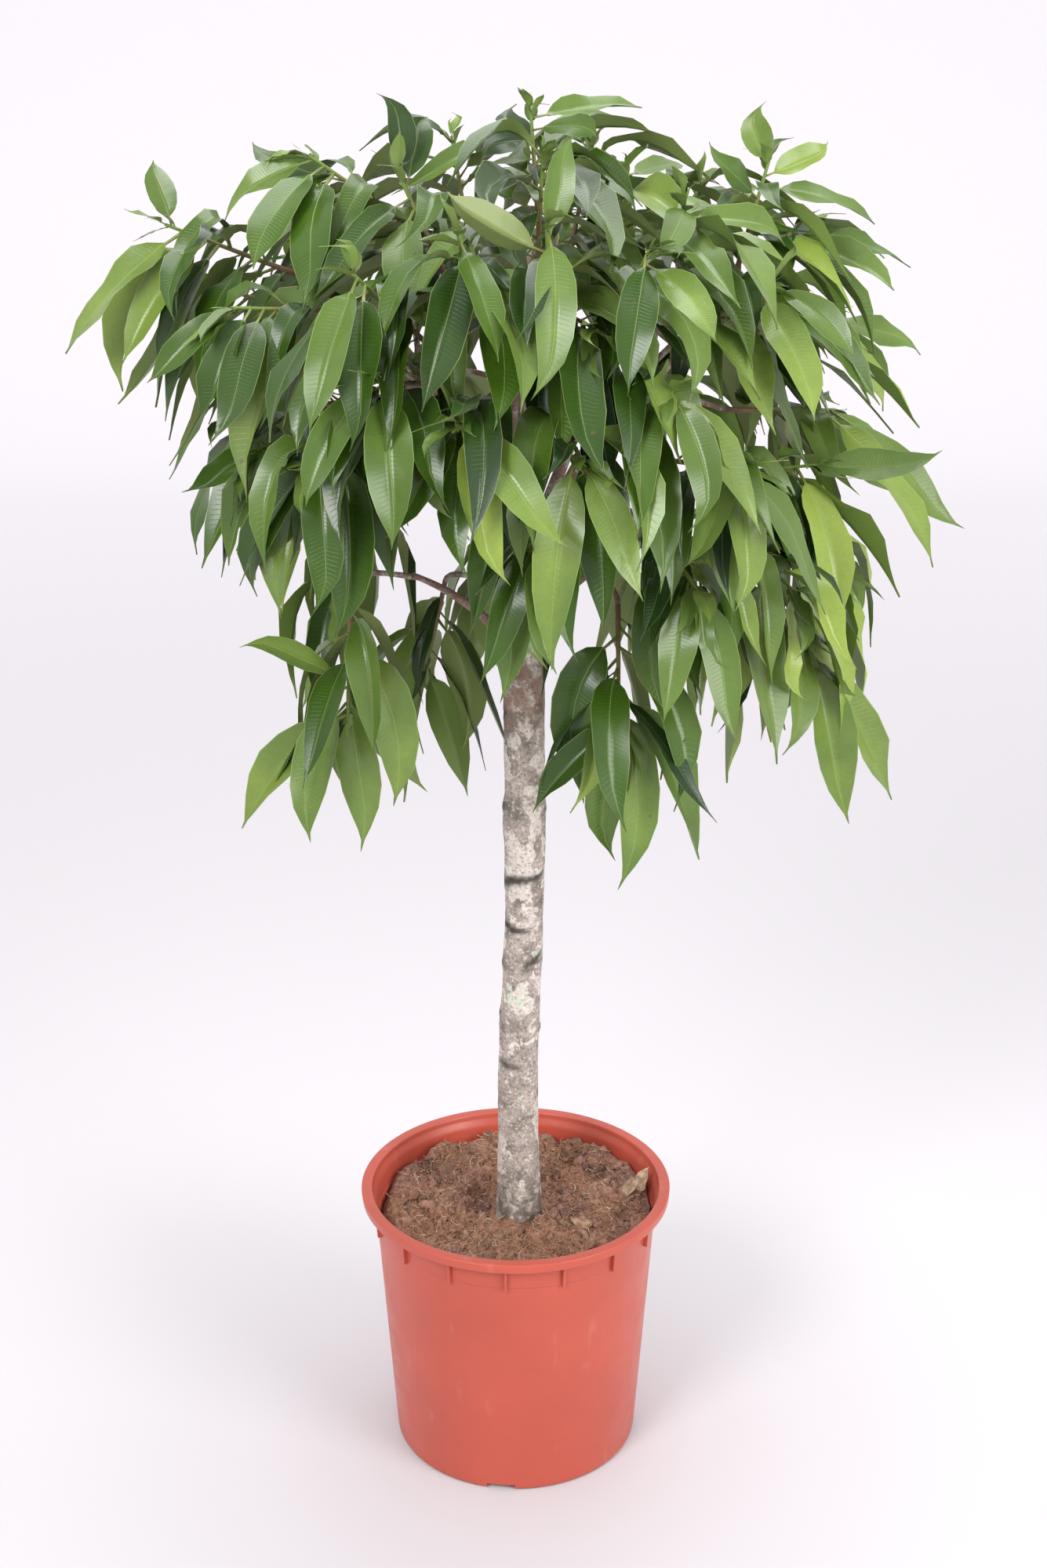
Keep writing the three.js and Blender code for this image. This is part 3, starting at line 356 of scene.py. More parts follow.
def cut(piece, cutter):
    """Takes a cutter out of a piece and deletes the cutter."""
    modifier = piece.modifiers.new("Cut", "BOOLEAN")
    modifier.operation = "DIFFERENCE"
    modifier.solver = "EXACT"
    modifier.object = cutter
    mesh = plain_mesh(piece)
    piece.modifiers.remove(modifier)
    old, piece.data = piece.data, mesh
    bpy.data.meshes.remove(old)
    remove(cutter)


def finish(piece, slot, *nodes):
    """Rides a finished piece on the part and lets it stand for its CAD nodes. The slot is not used."""
    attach(piece, "root")
    if nodes:
        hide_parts(*nodes)


def mesh_of(name, build):
    """A mesh from a function that fills a bmesh."""
    bm = bmesh.new()
    build(bm)
    mesh = bpy.data.meshes.new(name)
    bm.to_mesh(mesh)
    bm.free()
    return mesh


def smoothed(mesh):
    mesh.polygons.foreach_set("use_smooth", [True] * len(mesh.polygons))


def mesh_object(name, corners, faces, surface):
    """A smooth object from corners in metres and faces, with one material."""
    mesh = bpy.data.meshes.new(name)
    mesh.from_pydata([tuple(corner) for corner in corners], [], [tuple(face) for face in faces])
    mesh.materials.append(surface)
    smoothed(mesh)
    mesh.update()
    return new_object(name, mesh)


def built_object(name, build, surface):
    """An object from a function that fills a bmesh, with one material."""
    mesh = mesh_of(name, build)
    mesh.materials.append(surface)
    return new_object(name, mesh)


def angles(count):
    """The angles of evenly spaced corners round a circle."""
    return [FULL_TURN * order / count for order in range(count)]


def circle(radius, height, sides):
    """Corners in metres of a level circle round the Z axis."""
    reach = radius * MM
    return [(reach * math.cos(angle), reach * math.sin(angle), height * MM) for angle in angles(sides)]


def tube_faces(rings, sides):
    """The sides, the start and the end of a closed tube whose corners are numbered ring by ring."""
    skin = []
    for base in range(0, (rings - 1) * sides, sides):
        for k in range(sides):
            a, b = base + k, base + (k + 1) % sides
            skin.append((a, b, b + sides, a + sides))
    return skin, list(range(sides))[::-1], list(range((rings - 1) * sides, rings * sides))


def store(mesh, name, kind, values, domain="POINT"):
    key = "vector" if kind == "FLOAT_VECTOR" else "value"
    data = mesh.attributes.new(name, kind, domain).data
    data.foreach_set(key, np.asarray(values).ravel())


# Materials

# The pot's wall inside, as its radius in metres at height 0 and how much that grows with height
WALL_FOOT_RADIUS, WALL_SLOPE = 0.1252, 0.0725
SCUFF = (0.75, 0.4, 0.32)
MINT_LICHEN, MOTTLE, SCAR = (0.5, 0.58, 0.44), (0.15, 0.12, 0.09), (0.032, 0.027, 0.022)
DARK_GRAIN, PALE_GRAIN, DAMP_FOOT = (0.11, 0.09, 0.07), (0.84, 0.8, 0.75), (0.1, 0.082, 0.06)
TWIG_MIDDLE, TWIG_TIP = (0.19, 0.17, 0.045), (0.14, 0.22, 0.035)
LEAF_SPOT, LEAF_STALK = (0.13, 0.07, 0.03), (0.22, 0.25, 0.07)
SIDE_VEINS = 38.0
DRY_CLOD, BARK_CHIP, BARK_SLAB = (0.4, 0.26, 0.17), (0.2, 0.1, 0.06), (0.42, 0.26, 0.16)
DRY_ROOT, DRY_LEAF = (0.62, 0.45, 0.3), (0.5, 0.35, 0.23)
# Heights in metres between which each runs from nothing to full: dust on the pot's wall, from above and
# from below, the stem's damp foot and its young wood
DUST_FROM_ABOVE, DUST_FROM_BELOW = (0.292, 0.272), (0.255, 0.262)
DAMP_FOOT_HEIGHTS, YOUNG_WOOD_HEIGHTS = (0.385, 0.345), (0.87, 0.94)


def material(name):
    made = bpy.data.materials.new(name)
    made.use_nodes = True
    tree = made.node_tree
    return made, tree, tree.nodes["Principled BSDF"]


def times(colour, factor):
    """A colour made lighter or darker."""
    return [min(1.0, factor * channel) for channel in colour[:3]]


def ramp(tree, value, *stops):
    """Colours along a value: each stop is its place and its colour."""
    made = add(tree, "ShaderNodeValToRGB", value)
    elements = made.color_ramp.elements
    while len(elements) < len(stops):
        elements.new(0.5)
    for element, (place, colour) in zip(elements, stops):
        element.position = place
        element.color = (*colour[:3], 1)
    return out(made)


def washes(tree, shade, *layers):
    """Lays colours over a shade in turn, each as far as its amount and its strength say."""
    for amount, strength, colour in layers:
        if not isinstance(colour, bpy.types.NodeSocket):
            colour = (*colour[:3], 1)
        mixed = add(tree, "ShaderNodeMix", product(tree, amount, strength), shade, colour, data_type="RGBA")
        shade = out(mixed)
    return shade


def mask(tree, value, low, high):
    """0 up to low and 1 from high, running smoothly between; the other way round if high is below low."""
    return out(add(tree, "ShaderNodeMapRange", value, low, high, 0.0, 1.0, interpolation_type="SMOOTHSTEP"))


def spots(tree, place, scale, low, high, detail=3.0):
    """Patches where noise runs above a level."""
    return mask(tree, speckle(tree, place, scale, detail), low, high)


def relief(tree, shader, height, distance, strength):
    bump = add(tree, "ShaderNodeBump", named={"Strength": strength, "Distance": distance, "Height": height})
    tree.links.new(out(bump), shader.inputs["Normal"])


def coat(tree, shader, shade, roughness):
    """Gives a shader its colour and its roughness."""
    feed(tree, shader.inputs["Base Color"], shade)
    feed(tree, shader.inputs["Roughness"], roughness)


def object_place(tree, stretch=(1, 1, 1)):
    place = out(add(tree, "ShaderNodeTexCoord"), "Object")
    return vectors(tree, "MULTIPLY", place, stretch)


def mesh_value(tree, name):
    return out(add(tree, "ShaderNodeAttribute", attribute_name=name), "Fac")


def from_height(tree, place, scale, low, high):
    """A ragged line round the object: 0 up to the height low and 1 from high, or the other way round."""
    ragged = product(tree, speckle(tree, place, scale), 0.14)
    return mask(tree, total(tree, parts_of(tree, place)[2], ragged), low, high)


def pot_material(colours):
    """Moulded plastic: an even colour, fine grain and a little soil dust low on the inside."""
    made, tree, shader = material("Moulded pot plastic")
    place = object_place(tree)
    height = parts_of(tree, place)[2]
    radius = measure(tree, "LENGTH", object_place(tree, (1, 1, 0)))
    wall = total(tree, WALL_FOOT_RADIUS, product(tree, height, WALL_SLOPE))
    inside = mask(tree, less(tree, radius, wall), -0.0005, -0.0015)
    near_soil = product(tree, mask(tree, height, *DUST_FROM_ABOVE), mask(tree, height, *DUST_FROM_BELOW))
    dust = product(tree, inside, near_soil, spots(tree, place, 60.0, 0.35, 0.6, 4.0))
    scuffs = spots(tree, object_place(tree, (1, 1, 0.3)), 38.0, 0.6, 0.72, 6.0)
    shade = ramp(tree, speckle(tree, place, 9.0, 5.0), (0.3, colours.pot), (0.75, times(colours.pot, 0.86)))
    shade = washes(tree, shade, (dust, 0.75, colours.soil), (scuffs, 0.1, SCUFF))
    rough = out(add(tree, "ShaderNodeMapRange", speckle(tree, place, 30.0, 6.0), 0.3, 0.7, 0.28, 0.44))
    coat(tree, shader, shade, total(tree, rough, product(tree, dust, 0.4)))
    relief(tree, shader, speckle(tree, place, 420.0, 2.0), 0.0002, 0.25)
    return made


def bark_material(colours):
    """Grey-beige bark with crisp lichen patches, white and dark grains, dark mottles and scars, a mossy
    foot and red-brown young wood on top."""
    made, tree, shader = material("Lichened bark")
    place = object_place(tree)
    base = ramp(tree, speckle(tree, place, 42.0, 6.0, 0.65), (0.34, times(colours.bark, 0.5)),
                (0.5, colours.bark), (0.64, times(colours.bark, 1.25)))
    large = spots(tree, object_place(tree, (1, 1, 0.75)), 31.0, 0.545, 0.56, 1.5)
    mint = product(tree, spots(tree, place, 30.0, 0.64, 0.67, 2.0), spots(tree, place, 160.0, 0.45, 0.55))
    mottle = spots(tree, object_place(tree, (1, 1, 1.7)), 19.0, 0.55, 0.64, 7.0)
    grain = speckle(tree, place, 330.0, 3.0)
    foot = product(tree, from_height(tree, place, 34.0, *DAMP_FOOT_HEIGHTS),
                   spots(tree, place, 90.0, 0.38, 0.55))
    young = product(tree, from_height(tree, place, 22.0, *YOUNG_WOOD_HEIGHTS),
                    spots(tree, place, 48.0, 0.36, 0.52, 4.0))
    shade = washes(
        tree, base,
        (large, 0.85, colours.lichen),
        (spots(tree, place, 80.0, 0.6, 0.635, 2.0), 0.75, times(colours.lichen, 1.12)),
        (mint, 0.8, MINT_LICHEN),
        (mottle, 0.65, MOTTLE),
        (mask(tree, grain, 0.55, 0.64), 0.6, DARK_GRAIN),
        (mask(tree, grain, 0.42, 0.35), 0.4, PALE_GRAIN),
        (foot, 0.8, DAMP_FOOT),
        (young, 0.75, times(colours.twig, 1.3)),
        (mesh_value(tree, "scar"), 0.96, SCAR),
    )
    coat(tree, shader, shade, 0.85)
    lumps = product(tree, speckle(tree, place, 90.0, 5.0), 1.5)
    relief(tree, shader, total(tree, grain, lumps, product(tree, large, 0.25)), 0.0014, 0.75)
    return made


def twig_material(colours):
    """Young shoots: brown at their foot, green at their tip."""
    made, tree, shader = material("Young twig")
    grain = speckle(tree, object_place(tree), 250.0, 3.0)
    share = total(tree, mesh_value(tree, "along"), product(tree, grain, 0.3))
    coat(tree, shader, ramp(tree, share, (0.2, colours.twig), (0.75, TWIG_MIDDLE), (1.0, TWIG_TIP)), 0.6)
    return made


def leaf_material(colours):
    """Glossy leaf: dark to yellow-green above and olive below, a fine pale midrib, faint side veins and a
    thin light margin."""
    made, tree, shader = material("Fig leaf")
    blade = out(add(tree, "ShaderNodeAttribute", attribute_name="blade"), "Vector")
    along, sideways, _ = parts_of(tree, blade)
    across = maths(tree, "ABSOLUTE", sideways)
    from_rib = maths(tree, "DIVIDE", across, maths(tree, "MAXIMUM", mesh_value(tree, "outline"), 0.02))
    under = mesh_value(tree, "under")
    place = object_place(tree)
    cloud = less(tree, speckle(tree, place, 14.0, 3.0), 0.5)
    fine = speckle(tree, place, 260.0, 2.0)

    # side veins leave the midrib at a steep angle and fade out towards the margin
    sweep = less(tree, product(tree, along, SIDE_VEINS), product(tree, from_rib, 1.6))
    comb = maths(tree, "ABSOLUTE", less(tree, maths(tree, "FRACT", sweep), 0.5))
    veins = product(tree, mask(tree, comb, 0.1, 0.0), mask(tree, from_rib, 0.95, 0.5))
    rib = mask(tree, across, less(tree, 0.05, product(tree, along, 0.034)), 0.01)

    tone = mesh_value(tree, "tone")
    share = total(tree, tone, product(tree, cloud, 0.35), product(tree, from_rib, -0.06))
    upper = washes(
        tree,
        ramp(tree, share, (0.02, colours.leaf_dark), (0.4, colours.leaf), (0.72, colours.leaf_light),
             (0.98, colours.leaf_young)),
        (fine, 0.22, times(colours.leaf, 0.55)),
        (veins, 0.05, colours.vein),
        (rib, 0.36, colours.vein),
        (mask(tree, from_rib, 0.95, 0.995), 0.4, times(colours.vein, 1.2)),
        (spots(tree, place, 75.0, 0.74, 0.77, 2.0), 0.6, LEAF_SPOT),
    )
    lower = ramp(tree, share, (0.1, colours.leaf_under), (0.9, times(colours.leaf_light, 1.3)))
    lower = washes(tree, lower, (veins, 0.14, colours.vein), (rib, 0.6, colours.vein))
    skin = washes(tree, upper, (under, 1.0, lower), (mask(tree, along, 0.14, 0.11), 0.85, LEAF_STALK))
    gloss = out(add(tree, "ShaderNodeMapRange", under, 0.0, 1.0, 0.3, 0.55))
    coat(tree, shader, skin, total(tree, gloss, product(tree, cloud, 0.2)))
    for name, value in (("Specular IOR Level", 0.3), ("Coat Weight", 0.22), ("Coat Roughness", 0.2)):
        shader.inputs[name].default_value = value
    height = total(tree, product(tree, veins, -0.5), product(tree, rib, -1.2), product(tree, fine, 0.25))
    relief(tree, shader, height, 0.0004, 0.5)
    return made


def soil_material(colours, name, tint, dryness):
    """Potting soil: dark and lighter crumbs, dark patches of painted shade as in hollows, and patches of dry
    orange-brown fibre.
    """
    made, tree, shader = material(name)
    place = object_place(tree)
    crumbs = speckle(tree, place, 240.0, 5.0, 0.7)
    shade = ramp(tree, crumbs, (0.3, times(colours.soil, 0.3)), (0.46, colours.soil),
                 (0.6, times(colours.soil, 1.6)), (0.74, times(colours.soil, 2.4)))
    shade = washes(
        tree, shade,
        (spots(tree, place, 13.0, 0.42, 0.6), 0.4, colours.fibre),
        (spots(tree, place, 30.0, 0.5, 0.64, 4.0), dryness, tint),
        # painted shade: dark patches that stand for the shade in the soil's hollows
        (spots(tree, object_place(tree, (1, 1, 0)), 24.0, 0.52, 0.66), 0.6, times(colours.soil, 0.35)),
    )
    coat(tree, shader, shade, 0.95)
    shader.inputs["Specular IOR Level"].default_value = 0.22
    relief(tree, shader, crumbs, 0.002, 0.8)
    return made


def plain_material(name, colour, roughness, darkest=0.6):
    """One colour, darker in patches."""
    made, tree, shader = material(name)
    cloud = speckle(tree, object_place(tree), 150.0, 4.0)
    coat(tree, shader, ramp(tree, cloud, (0.36, times(colour, darkest)), (0.62, colour)), roughness)
    relief(tree, shader, cloud, 0.0006, 0.6)
    return made


# Pot

def ring_tree():
    """Turned copies of a piece round the Z axis."""
    tree, inputs = geometry_tree("Copies in a ring", {
        "Count": ("Int", RIB_COUNT), "First angle": ("Float", 0.0), "Material": ("Material", None),
    })
    points = out(add(tree, "GeometryNodePoints", inputs["Count"]))
    order = out(add(tree, "GeometryNodeInputIndex"))
    step = maths(tree, "DIVIDE", FULL_TURN, inputs["Count"])
    turn = out(add(tree, "ShaderNodeCombineXYZ", 0.0, 0.0,
                   total(tree, inputs["First angle"], product(tree, order, step))))
    copies = add(tree, "GeometryNodeInstanceOnPoints", points, True, inputs["Geometry"],
                 named={"Rotation": turn})
    return close_tree(tree, out(copies), inputs["Material"])


def rounded(corners):
    """A profile with its corners rounded off, each from as far away as its third number says."""
    points = [Vector(corners[0][:2])]
    for before, (radius, height, reach), after in zip(corners, corners[1:], corners[2:]):
        corner = Vector((radius, height))
        if reach == 0:
            points.append(corner)
            continue
        start = corner + (Vector(before[:2]) - corner).normalized() * reach
        end = corner + (Vector(after[:2]) - corner).normalized() * reach
        for share in ROUNDING:
            points.append(start.lerp(corner, share).lerp(corner.lerp(end, share), share))
    points.append(Vector(corners[-1][:2]))
    return points


def lathe(profile, sides):
    """Corners and faces of a profile in millimetres turned round the Z axis. Its ends lie on the axis."""
    corners, rows, faces = [], [], []
    for radius, height in profile:
        made = circle(radius, height, sides) if radius else [(0, 0, height * MM)]
        rows.append([len(corners) + k % len(made) for k in range(sides)])
        corners += made
    for low, high in zip(rows, rows[1:]):
        for k in range(sides):
            after = (k + 1) % sides
            faces.append(list(dict.fromkeys([low[k], low[after], high[after], high[k]])))
    return corners, faces


def notch_cutter(width):
    """A block that reaches through the foot's outer ring."""
    def build(bm):
        bmesh.ops.create_cube(bm, size=1)
        size = Vector(((NOTCH_TO - NOTCH_FROM) * MM, width, 2 * NOTCH_HEIGHT * MM))
        bmesh.ops.scale(bm, vec=size, verts=bm.verts)
        bmesh.ops.translate(bm, vec=((NOTCH_FROM + NOTCH_TO) / 2 * MM, 0, 0), verts=bm.verts)
    return mesh_of("notch", build)


def drain_cutter():
    """A round pin through the pot's floor."""
    radius = DRAIN_RADIUS * MM

    def build(bm):
        bmesh.ops.create_cone(bm, segments=DRAIN_SIDES, radius1=radius, radius2=radius,
                              depth=DRAIN_CUT * MM, cap_ends=True)
        bmesh.ops.translate(bm, verts=bm.verts, vec=(DRAIN_AWAY * MM, 0, 0))
    return mesh_of("drain", build)


def rib_mesh(thickness):
    """A flat rib under the rim, its edges eased."""
    def build(bm):
        sides = []
        for y in (-thickness / 2, thickness / 2):
            sides.append([bm.verts.new((x * MM, y, z * MM)) for x, z in RIB_CORNERS])
        bm.faces.new(sides[0])
        bm.faces.new(sides[1][::-1])
        for i, low in enumerate(sides[0]):
            bm.faces.new((sides[0][i - 1], low, sides[1][i], sides[1][i - 1]))
        bmesh.ops.recalc_face_normals(bm, faces=bm.faces)
        bmesh.ops.bevel(bm, geom=bm.edges[:], offset=RIB_EASING * thickness, segments=1, affect="EDGES")
    return mesh_of("rib", build)


class FIG_OT_pot(bpy.types.Operator):
    """Turned pot with its ribs, foot notches and drain holes"""
    bl_idname = "fig.pot"
    bl_label = "Pot"

    def execute(self, context):
        sizes, colours = settings()
        plastic = pot_material(colours)
        ring = ring_tree()

        def copies(name, mesh, count, first):
            return grown(name, mesh, ring, count=count, first_angle=math.radians(first), material=plastic)

        pot = mesh_object("pot_shell", *lathe(rounded(POT_PROFILE), POT_SIDES), plastic)
        cut(pot, copies("notches", notch_cutter(sizes.notch_width), NOTCH_COUNT, NOTCH_FIRST_ANGLE))
        cut(pot, copies("drains", drain_cutter(), DRAIN_COUNT, DRAIN_FIRST_ANGLE))
        ribs = copies("pot_ribs", rib_mesh(sizes.rib_thickness), RIB_COUNT, RIB_FIRST_ANGLE)
        for piece, *nodes in ((pot, "pot"), (ribs,)):
            piece.data.set_sharp_from_angle(angle=SHARP_ANGLE)
            finish(piece, "pot_plastic", *nodes)
        return {"FINISHED"}


# Soil

def soil_height(x, y):
    """Height of the soil's surface: the part's own lumps, with clods, grit and a ragged edge."""
    radius = math.hypot(x, y)
    lumps = math.sin(x * 0.071 + 1.3) * math.cos(y * 0.063 - 0.4) + 0.6 * math.sin(x * 0.13 - y * 0.11)
    height = SOIL_LEVEL + SOIL_RISE * (radius / SOIL_RISE_RADIUS) ** 2 + SOIL_LUMP * lumps
    to_back, to_right = max(0.0, y / SOIL_RISE_RADIUS), max(0.0, x / SOIL_RISE_RADIUS)
    height += SOIL_BACK_RISE * to_back ** 1.3 + SOIL_RIGHT_RISE * to_right ** 2
    swirl = noise.noise_vector(Vector((x, y, 2)) * 0.09)
    cell = 0.5 + 0.5 * noise.noise(Vector((x, y, 5)) * 0.06 + 0.35 * swirl, noise_basis="VORONOI_F1")
    cloddy = 0.6 + 0.8 * noise.noise(Vector((x, y, 9)) * 0.02)
    clods = CLOD_HEIGHT * max(0.0, cloddy) * (0.75 - 2.2 * cell * cell)
    grit = GRIT_HEIGHT * noise.fractal(Vector((x, y, 48)) * 0.16, 0.8, 2.2, 4)
    hollow_x, hollow_y, hollow_size = SOIL_HOLLOW
    hollow = HOLLOW_DEPTH * math.exp(-((x - hollow_x) ** 2 + (y - hollow_y) ** 2) / hollow_size ** 2)
    ragged = EDGE_RAGGED * noise.noise(Vector((x, y, 11)) * 0.035)
    fall = EDGE_FALL - EDGE_LESS_FALL * to_right
    edge = fall * max(0.0, (radius - EDGE_RADIUS + ragged) / EDGE_WIDTH) ** 2
    return height + clods + grit - hollow - edge


def bits_tree():
    """Scatters bits over a surface, each stretched, turned and sized at random."""
    tree, inputs = geometry_tree("Scattered bits", {
        "Bit": ("Object", None), "Density": ("Float", 9000.0), "Seed": ("Int", 1),
        "Smallest": ("Float", 0.4), "Largest": ("Float", 1.4), "Tilt": ("Float", 3.1),
        "Material": ("Material", None),
    })
    seed, tilt = {"Seed": inputs["Seed"]}, inputs["Tilt"]
    back = product(tree, tilt, -1.0)
    most = out(add(tree, "ShaderNodeCombineXYZ", tilt, tilt, FULL_TURN))
    least = out(add(tree, "ShaderNodeCombineXYZ", back, back, 0.0))
    turn = add(tree, "FunctionNodeRandomValue", least, most, named=seed, data_type="FLOAT_VECTOR")
    size = add(tree, "FunctionNodeRandomValue", inputs["Smallest"], inputs["Largest"], named=seed,
               data_type="FLOAT")
    stretch = add(tree, "FunctionNodeRandomValue", THINNEST_BIT, THICKEST_BIT, data_type="FLOAT_VECTOR")
    spread = add(tree, "GeometryNodeDistributePointsOnFaces", inputs["Geometry"], True,
                 named={"Density": inputs["Density"], **seed})
    copies = add(tree, "GeometryNodeInstanceOnPoints", out(spread, "Points"), named={
        "Instance": out(add(tree, "GeometryNodeObjectInfo", inputs["Bit"]), "Geometry"),
        "Rotation": out(turn), "Scale": scaled(tree, out(stretch), out(size)),
    })
    return close_tree(tree, out(copies), inputs["Material"])


def rough_lump(name, radius, variant, surface, squash=1.0, subdivisions=1, uneven=0.45):
    """A ball with an uneven skin, squashed from above."""
    def build(bm):
        bmesh.ops.create_icosphere(bm, subdivisions=subdivisions, radius=radius)
        for corner in bm.verts:
            push = noise.noise(corner.co.normalized() * 1.7 + Vector((variant, 0, 0)))
            corner.co *= 1 + uneven * push
            corner.co.z *= squash
    return built_object(name, build, surface)


def fibre(name, length, radius, surface):
    """A bent thread of three sides."""
    corners = []
    for j in range(FIBRE_STEPS + 1):
        share = j / FIBRE_STEPS - 0.5
        bow, arch = 0.22 * math.sin(5 * share), 0.1 * (0.25 - share ** 2)
        taper = radius * (1 - 1.2 * share ** 2)
        for angle in angles(3):
            around = Vector((0, taper * math.cos(angle), taper * math.sin(angle)))
            corners.append(Vector((share, bow, arch)) * length + around)
    skin, start, end = tube_faces(FIBRE_STEPS + 1, 3)
    return mesh_object(name, corners, [*skin, start, end], surface)


def soil_plug(surface):
    """The soil as one closed plug, and its top alone for the bits to lie on."""
    corners = []
    reach = SOIL_OUTER_RADIUS - SOIL_INNER_RADIUS
    for j in range(SOIL_ROWS + 1):
        radius = SOIL_INNER_RADIUS + reach * (j / SOIL_ROWS) ** 0.9
        for angle in angles(SOIL_SIDES):
            x = radius * math.cos(angle) + SOIL_MIDDLE_SHIFT * max(0.0, 1 - radius / SOIL_MIDDLE_RADIUS)
            y = radius * math.sin(angle)
            corners.append((x * MM, y * MM, soil_height(x, y) * MM))
    for radius, height in SOIL_PLUG:
        corners += circle(radius, height, SOIL_SIDES)
    skin, start, end = tube_faces(SOIL_ROWS + 1 + len(SOIL_PLUG), SOIL_SIDES)
    faces = [(a, d, c, b) for a, b, c, d in skin]
    top = faces[SOIL_COVER_FROM * SOIL_SIDES:SOIL_COVER_TO * SOIL_SIDES]
    plug = mesh_object("soil_bed", corners, [*faces, start[::-1], end[::-1]], surface)
    cover = mesh_object("soil_surface", corners, top, surface)
    return plug, cover


def laid_lumps(name, places, surface, squash, uneven):
    """Larger lumps laid on the soil where the photograph shows them, half sunk in, as one piece."""
    def build(bm):
        for order, (x, y, length, turn) in enumerate(places):
            made = bmesh.ops.create_icosphere(bm, subdivisions=3, radius=1)["verts"]
            facing = Vector((math.cos(math.radians(turn)), math.sin(math.radians(turn)), 0))
            across = UP.cross(facing)
            for corner in made:
                way = corner.co.copy()
                rough = noise.fractal(way * 1.6 + Vector((order * 7, 0, 0)), 0.8, 2.1, 4)
                way *= (1 + uneven * rough) * length / 2
                corner.co = way.x * facing + LUMP_WIDTH * way.y * across + squash * way.z * UP
                corner.co += Vector((x, y, soil_height(x, y) + LUMP_STAND * squash * length))
        bmesh.ops.scale(bm, vec=(MM, MM, MM), verts=bm.verts)
    lumps = built_object(name, build, surface)
    smoothed(lumps.data)
    finish(lumps, "potting_soil")


class FIG_OT_soil(bpy.types.Operator):
    """Soil plug with a lumpy top, and the crumbs, clods, chips and fibres that lie on it"""
    bl_idname = "fig.soil"
    bl_label = "Soil"

    def execute(self, context):
        sizes, colours = settings()
        noise.seed_set(sizes.seed)
        earth = soil_material(colours, "Potting soil", times(colours.soil, 1.9), 0.5)
        pale = soil_material(colours, "Dry clod", DRY_CLOD, 0.7)
        chip = plain_material("Bark chip", BARK_CHIP, 0.8)
        slab = plain_material("Pale bark slab", BARK_SLAB, 0.85)
        coir = plain_material("Coconut fibre", times(colours.fibre, 1.8), 0.75)
        straw = plain_material("Dry root", DRY_ROOT, 0.75)
        plug, cover = soil_plug(earth)
        finish(plug, "potting_soil", "soil")
        scatter = bits_tree()
        # name, the bit, its material, how many to a square metre, smallest and largest size, and tilt
        kinds = [
            ("soil_crumbs", rough_lump("crumb", 0.0016, 1.0, earth), earth, 60000, 0.35, 1.5, 3.1),
            ("soil_clods", rough_lump("clod", 0.0046, 4.0, earth, 0.75, 2), earth, 3600, 0.5, 1.6, 3.1),
            ("dry_clods", rough_lump("dry clod", 0.005, 9.0, pale, 0.8, 2, 0.6), pale, 1300, 0.45, 1.6, 3.1),
            ("bark_chips", rough_lump("chip", 0.006, 6.0, chip, 0.22, 1, 0.8), chip, 1000, 0.4, 1.4, 0.6),
            ("coconut_fibres", fibre("thread", 0.012, 0.00028, coir), coir, 46000, 0.4, 1.6, 0.8),
            ("dry_roots", fibre("root", 0.015, 0.00034, straw), straw, 12000, 0.3, 1.7, 0.7),
        ]
        for order, (name, bit, surface, density, smallest, largest, tilt) in enumerate(kinds):
            piece = grown(name, cover.data.copy(), scatter, bit=bit, density=density * sizes.litter,
                          seed=order + 3, smallest=smallest, largest=largest, tilt=tilt, material=surface)
            finish(piece, "potting_soil")
        remove(cover, *[kind[1] for kind in kinds])
        laid_lumps("large_clods", CLODS, earth, 0.62, 0.35)
        laid_lumps("bark_slabs", SLABS, slab, 0.24, 0.55)
        return {"FINISHED"}


# Leaves and wood, read from the part

def ring_next(ring, seen):
    """The corners next to a ring of three, on the side that hasn't been seen."""
    around = {edge.other_vert(corner) for corner in ring for edge in corner.link_edges}
    return sorted(around - set(ring) - set(seen), key=lambda corner: corner.index)


def sorted_ring(ring, side):
    """Right edge, keel and left edge of a ring of three corners. The keel is opposite the longest line."""
    lines = [(ring[i - 1].co - ring[i - 2].co).length for i in range(3)]
    keel = ring[lines.index(max(lines))]
    right, left = sorted((corner for corner in ring if corner is not keel), key=lambda c: -c.co.dot(side))
    return right, keel, left


def leaf_shape(root, tip, rings):
    """A leaf as its root, the two handles of its spine, the way its blade lies and its half width."""
    reach = tip - root
    pull, weight, side, half = Vector(), 0.0, Vector(), 0.0
    for (place, width), (centre, across, measured) in zip(BLADE_RINGS[len(rings)], rings):
        share = 2 * place * (1 - place)
        pull += share * (centre - root - place * place * reach)
        weight += share * share
        side += across
        half += measured / width / len(rings)
    bend = pull / weight
    return {"root": root, "bend": bend, "reach": reach, "side": side.normalized(), "half_width": half}


def middle_of(places):
    return sum(places, Vector()) / len(places)


def part_leaf(tip, ring, seen):
    """One leaf of the part, walked from its tip: rings of three corners, down to its root on the twig."""
    along = (tip.co - middle_of([corner.co for corner in ring])).normalized()
    right, keel, left = sorted_ring(ring, along)
    side = along.cross((right.co + left.co) / 2 - keel.co).normalized()
    rings, previous = [], [tip]
    seen.add(tip)
    while True:
        right, keel, left = sorted_ring(ring, side)
        seen.update(ring)
        if (right.co - left.co).length < STALK_WIDTH * MM:
            break
        side = (right.co - left.co).normalized()
        rings.append(((right.co + left.co) / 2, side.copy(), (right.co - left.co).length / 2))
        ring, previous = ring_next(ring, previous), ring
    root_ring = ring_next(ring, previous)
    seen.update(root_ring)
    return leaf_shape(middle_of([corner.co for corner in root_ring]), tip.co.copy(), rings)


